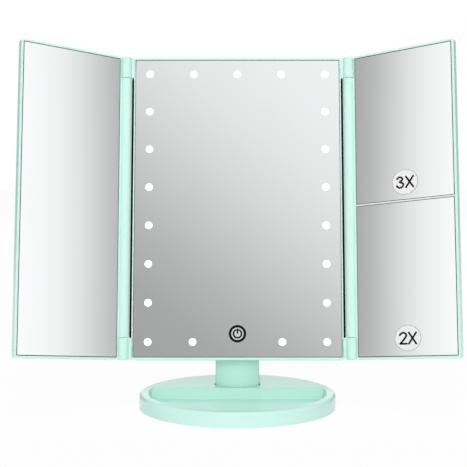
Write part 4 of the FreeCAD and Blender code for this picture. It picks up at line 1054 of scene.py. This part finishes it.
# ------------------------ badges
# White prints with a fine grey outline say how strongly each magnifier enlarges. They are oval, so
# that they look round with the wing open, and their figures are one even line with round ends.
badge_white = mottled("badge_white", 4000.0, 2.0, (0.82, 0.82, 0.82), (0.86, 0.86, 0.86),
                      0.35, 0.2, IOR=1.5)
outline_grey = mottled("outline_grey", 4000.0, 2.0, (0.26, 0.27, 0.27), (0.33, 0.34, 0.34),
                       0.4, 0.2, IOR=1.5)
BADGE = 9.5  # half of a badge's height
BADGE_X = 45.4
BADGE_UP = 13.4  # above the lower edge of its lens
BADGE_FRONT = 0.1
OUTLINE = 0.32
STROKE = 0.72
FIGURE_RELIEF = 0.09  # the figures' thickness, as a share of their strokes
badge_low, badge_high = millimetres("badge_3x")
BADGE_WIDE = (badge_high.x - badge_low.x) / (2.0 * math.cos(OPEN) * BADGE)
FIGURES = {
    "3": [[(-5.75, 2.75), (-3.8, 3.95), (-1.9, 2.2), (-3.9, 0.3)],
          [(-3.9, 0.3), (-1.25, -1.8), (-3.7, -4.15), (-6.05, -2.7)]],
    "2": [[(-5.85, 2.3), (-3.4, 3.95), (-1.1, 2.1), (-2.1, 0.0), (-5.5, -4.15)]],
    "base": [[(-5.5, -4.15), (-0.8, -4.15)]],
    "X": [[(0.75, 3.9), (5.9, -4.15)], [(5.9, 3.9), (0.75, -4.15)]],
}


def drawn(figures, height):
    """Figures drawn with an even round-ended line, pressed flat on the badge at this height."""
    strokes = []
    for points in (line for figure in figures for line in FIGURES[figure]):
        path = bpy.data.curves.new("stroke", "CURVE")
        path.dimensions = "3D"
        path.bevel_depth = STROKE
        path.bevel_resolution = 3
        path.use_fill_caps = True
        spline = path.splines.new("BEZIER")
        spline.resolution_u = 10
        spline.bezier_points.add(len(points) - 1)
        for knot, (x, z) in zip(spline.bezier_points, points):
            knot.co = (x, 0.0, z)
            handles = "AUTO" if len(points) > 2 else "VECTOR"
            knot.handle_left_type = knot.handle_right_type = handles
        holder = add_object("stroke", path)
        ready = holder.evaluated_get(bpy.context.evaluated_depsgraph_get())
        line = bmesh.new()
        line.from_mesh(ready.to_mesh())
        bmesh.ops.remove_doubles(line, verts=line.verts, dist=1e-4)
        bpy.data.objects.remove(holder)
        ends = []
        for x, z in (points[0], points[-1]):
            end = bmesh.new()
            bmesh.ops.create_uvsphere(end, u_segments=16, v_segments=10, radius=STROKE)
            bmesh.ops.translate(end, vec=(x, 0.0, z), verts=end.verts)
            ends.append(end)
        strokes.append(joined([line, *ends]))
    text = joined(strokes)
    bmesh.ops.scale(text, vec=(BADGE_WIDE, FIGURE_RELIEF, 1.0), verts=text.verts)
    bmesh.ops.translate(text, vec=(BADGE_X, BADGE_FRONT, height), verts=text.verts)
    return text


for badge, figures, low in (("badge_3x", ("3", "X"), MIDDLE + HALF_DIVIDER),
                            ("badge_2x", ("2", "base", "X"), glass_z[0])):
    height = low + BADGE_UP
    disc = rod(BADGE, BADGE_FRONT, GLASS_FRONT, (BADGE_X, height), axis="Y", steps=96)
    face = min(disc.faces, key=lambda f: f.calc_center_median().y)
    bmesh.ops.inset_individual(disc, faces=[face], thickness=OUTLINE)
    for outline in disc.faces:
        outline.material_index = 1
    face.material_index = 0
    bmesh.ops.scale(disc, vec=(BADGE_WIDE, 1.0, 1.0), verts=disc.verts,
                    space=Matrix.Translation((-BADGE_X, 0.0, 0.0)))
    settle(badge + "_disc", [disc], RIGHT_WING, [badge_white, outline_grey], "right_wing",
           [badge], flat=True)
    settle(badge + "_figures", [drawn(figures, height)], RIGHT_WING, [ink], "right_wing")
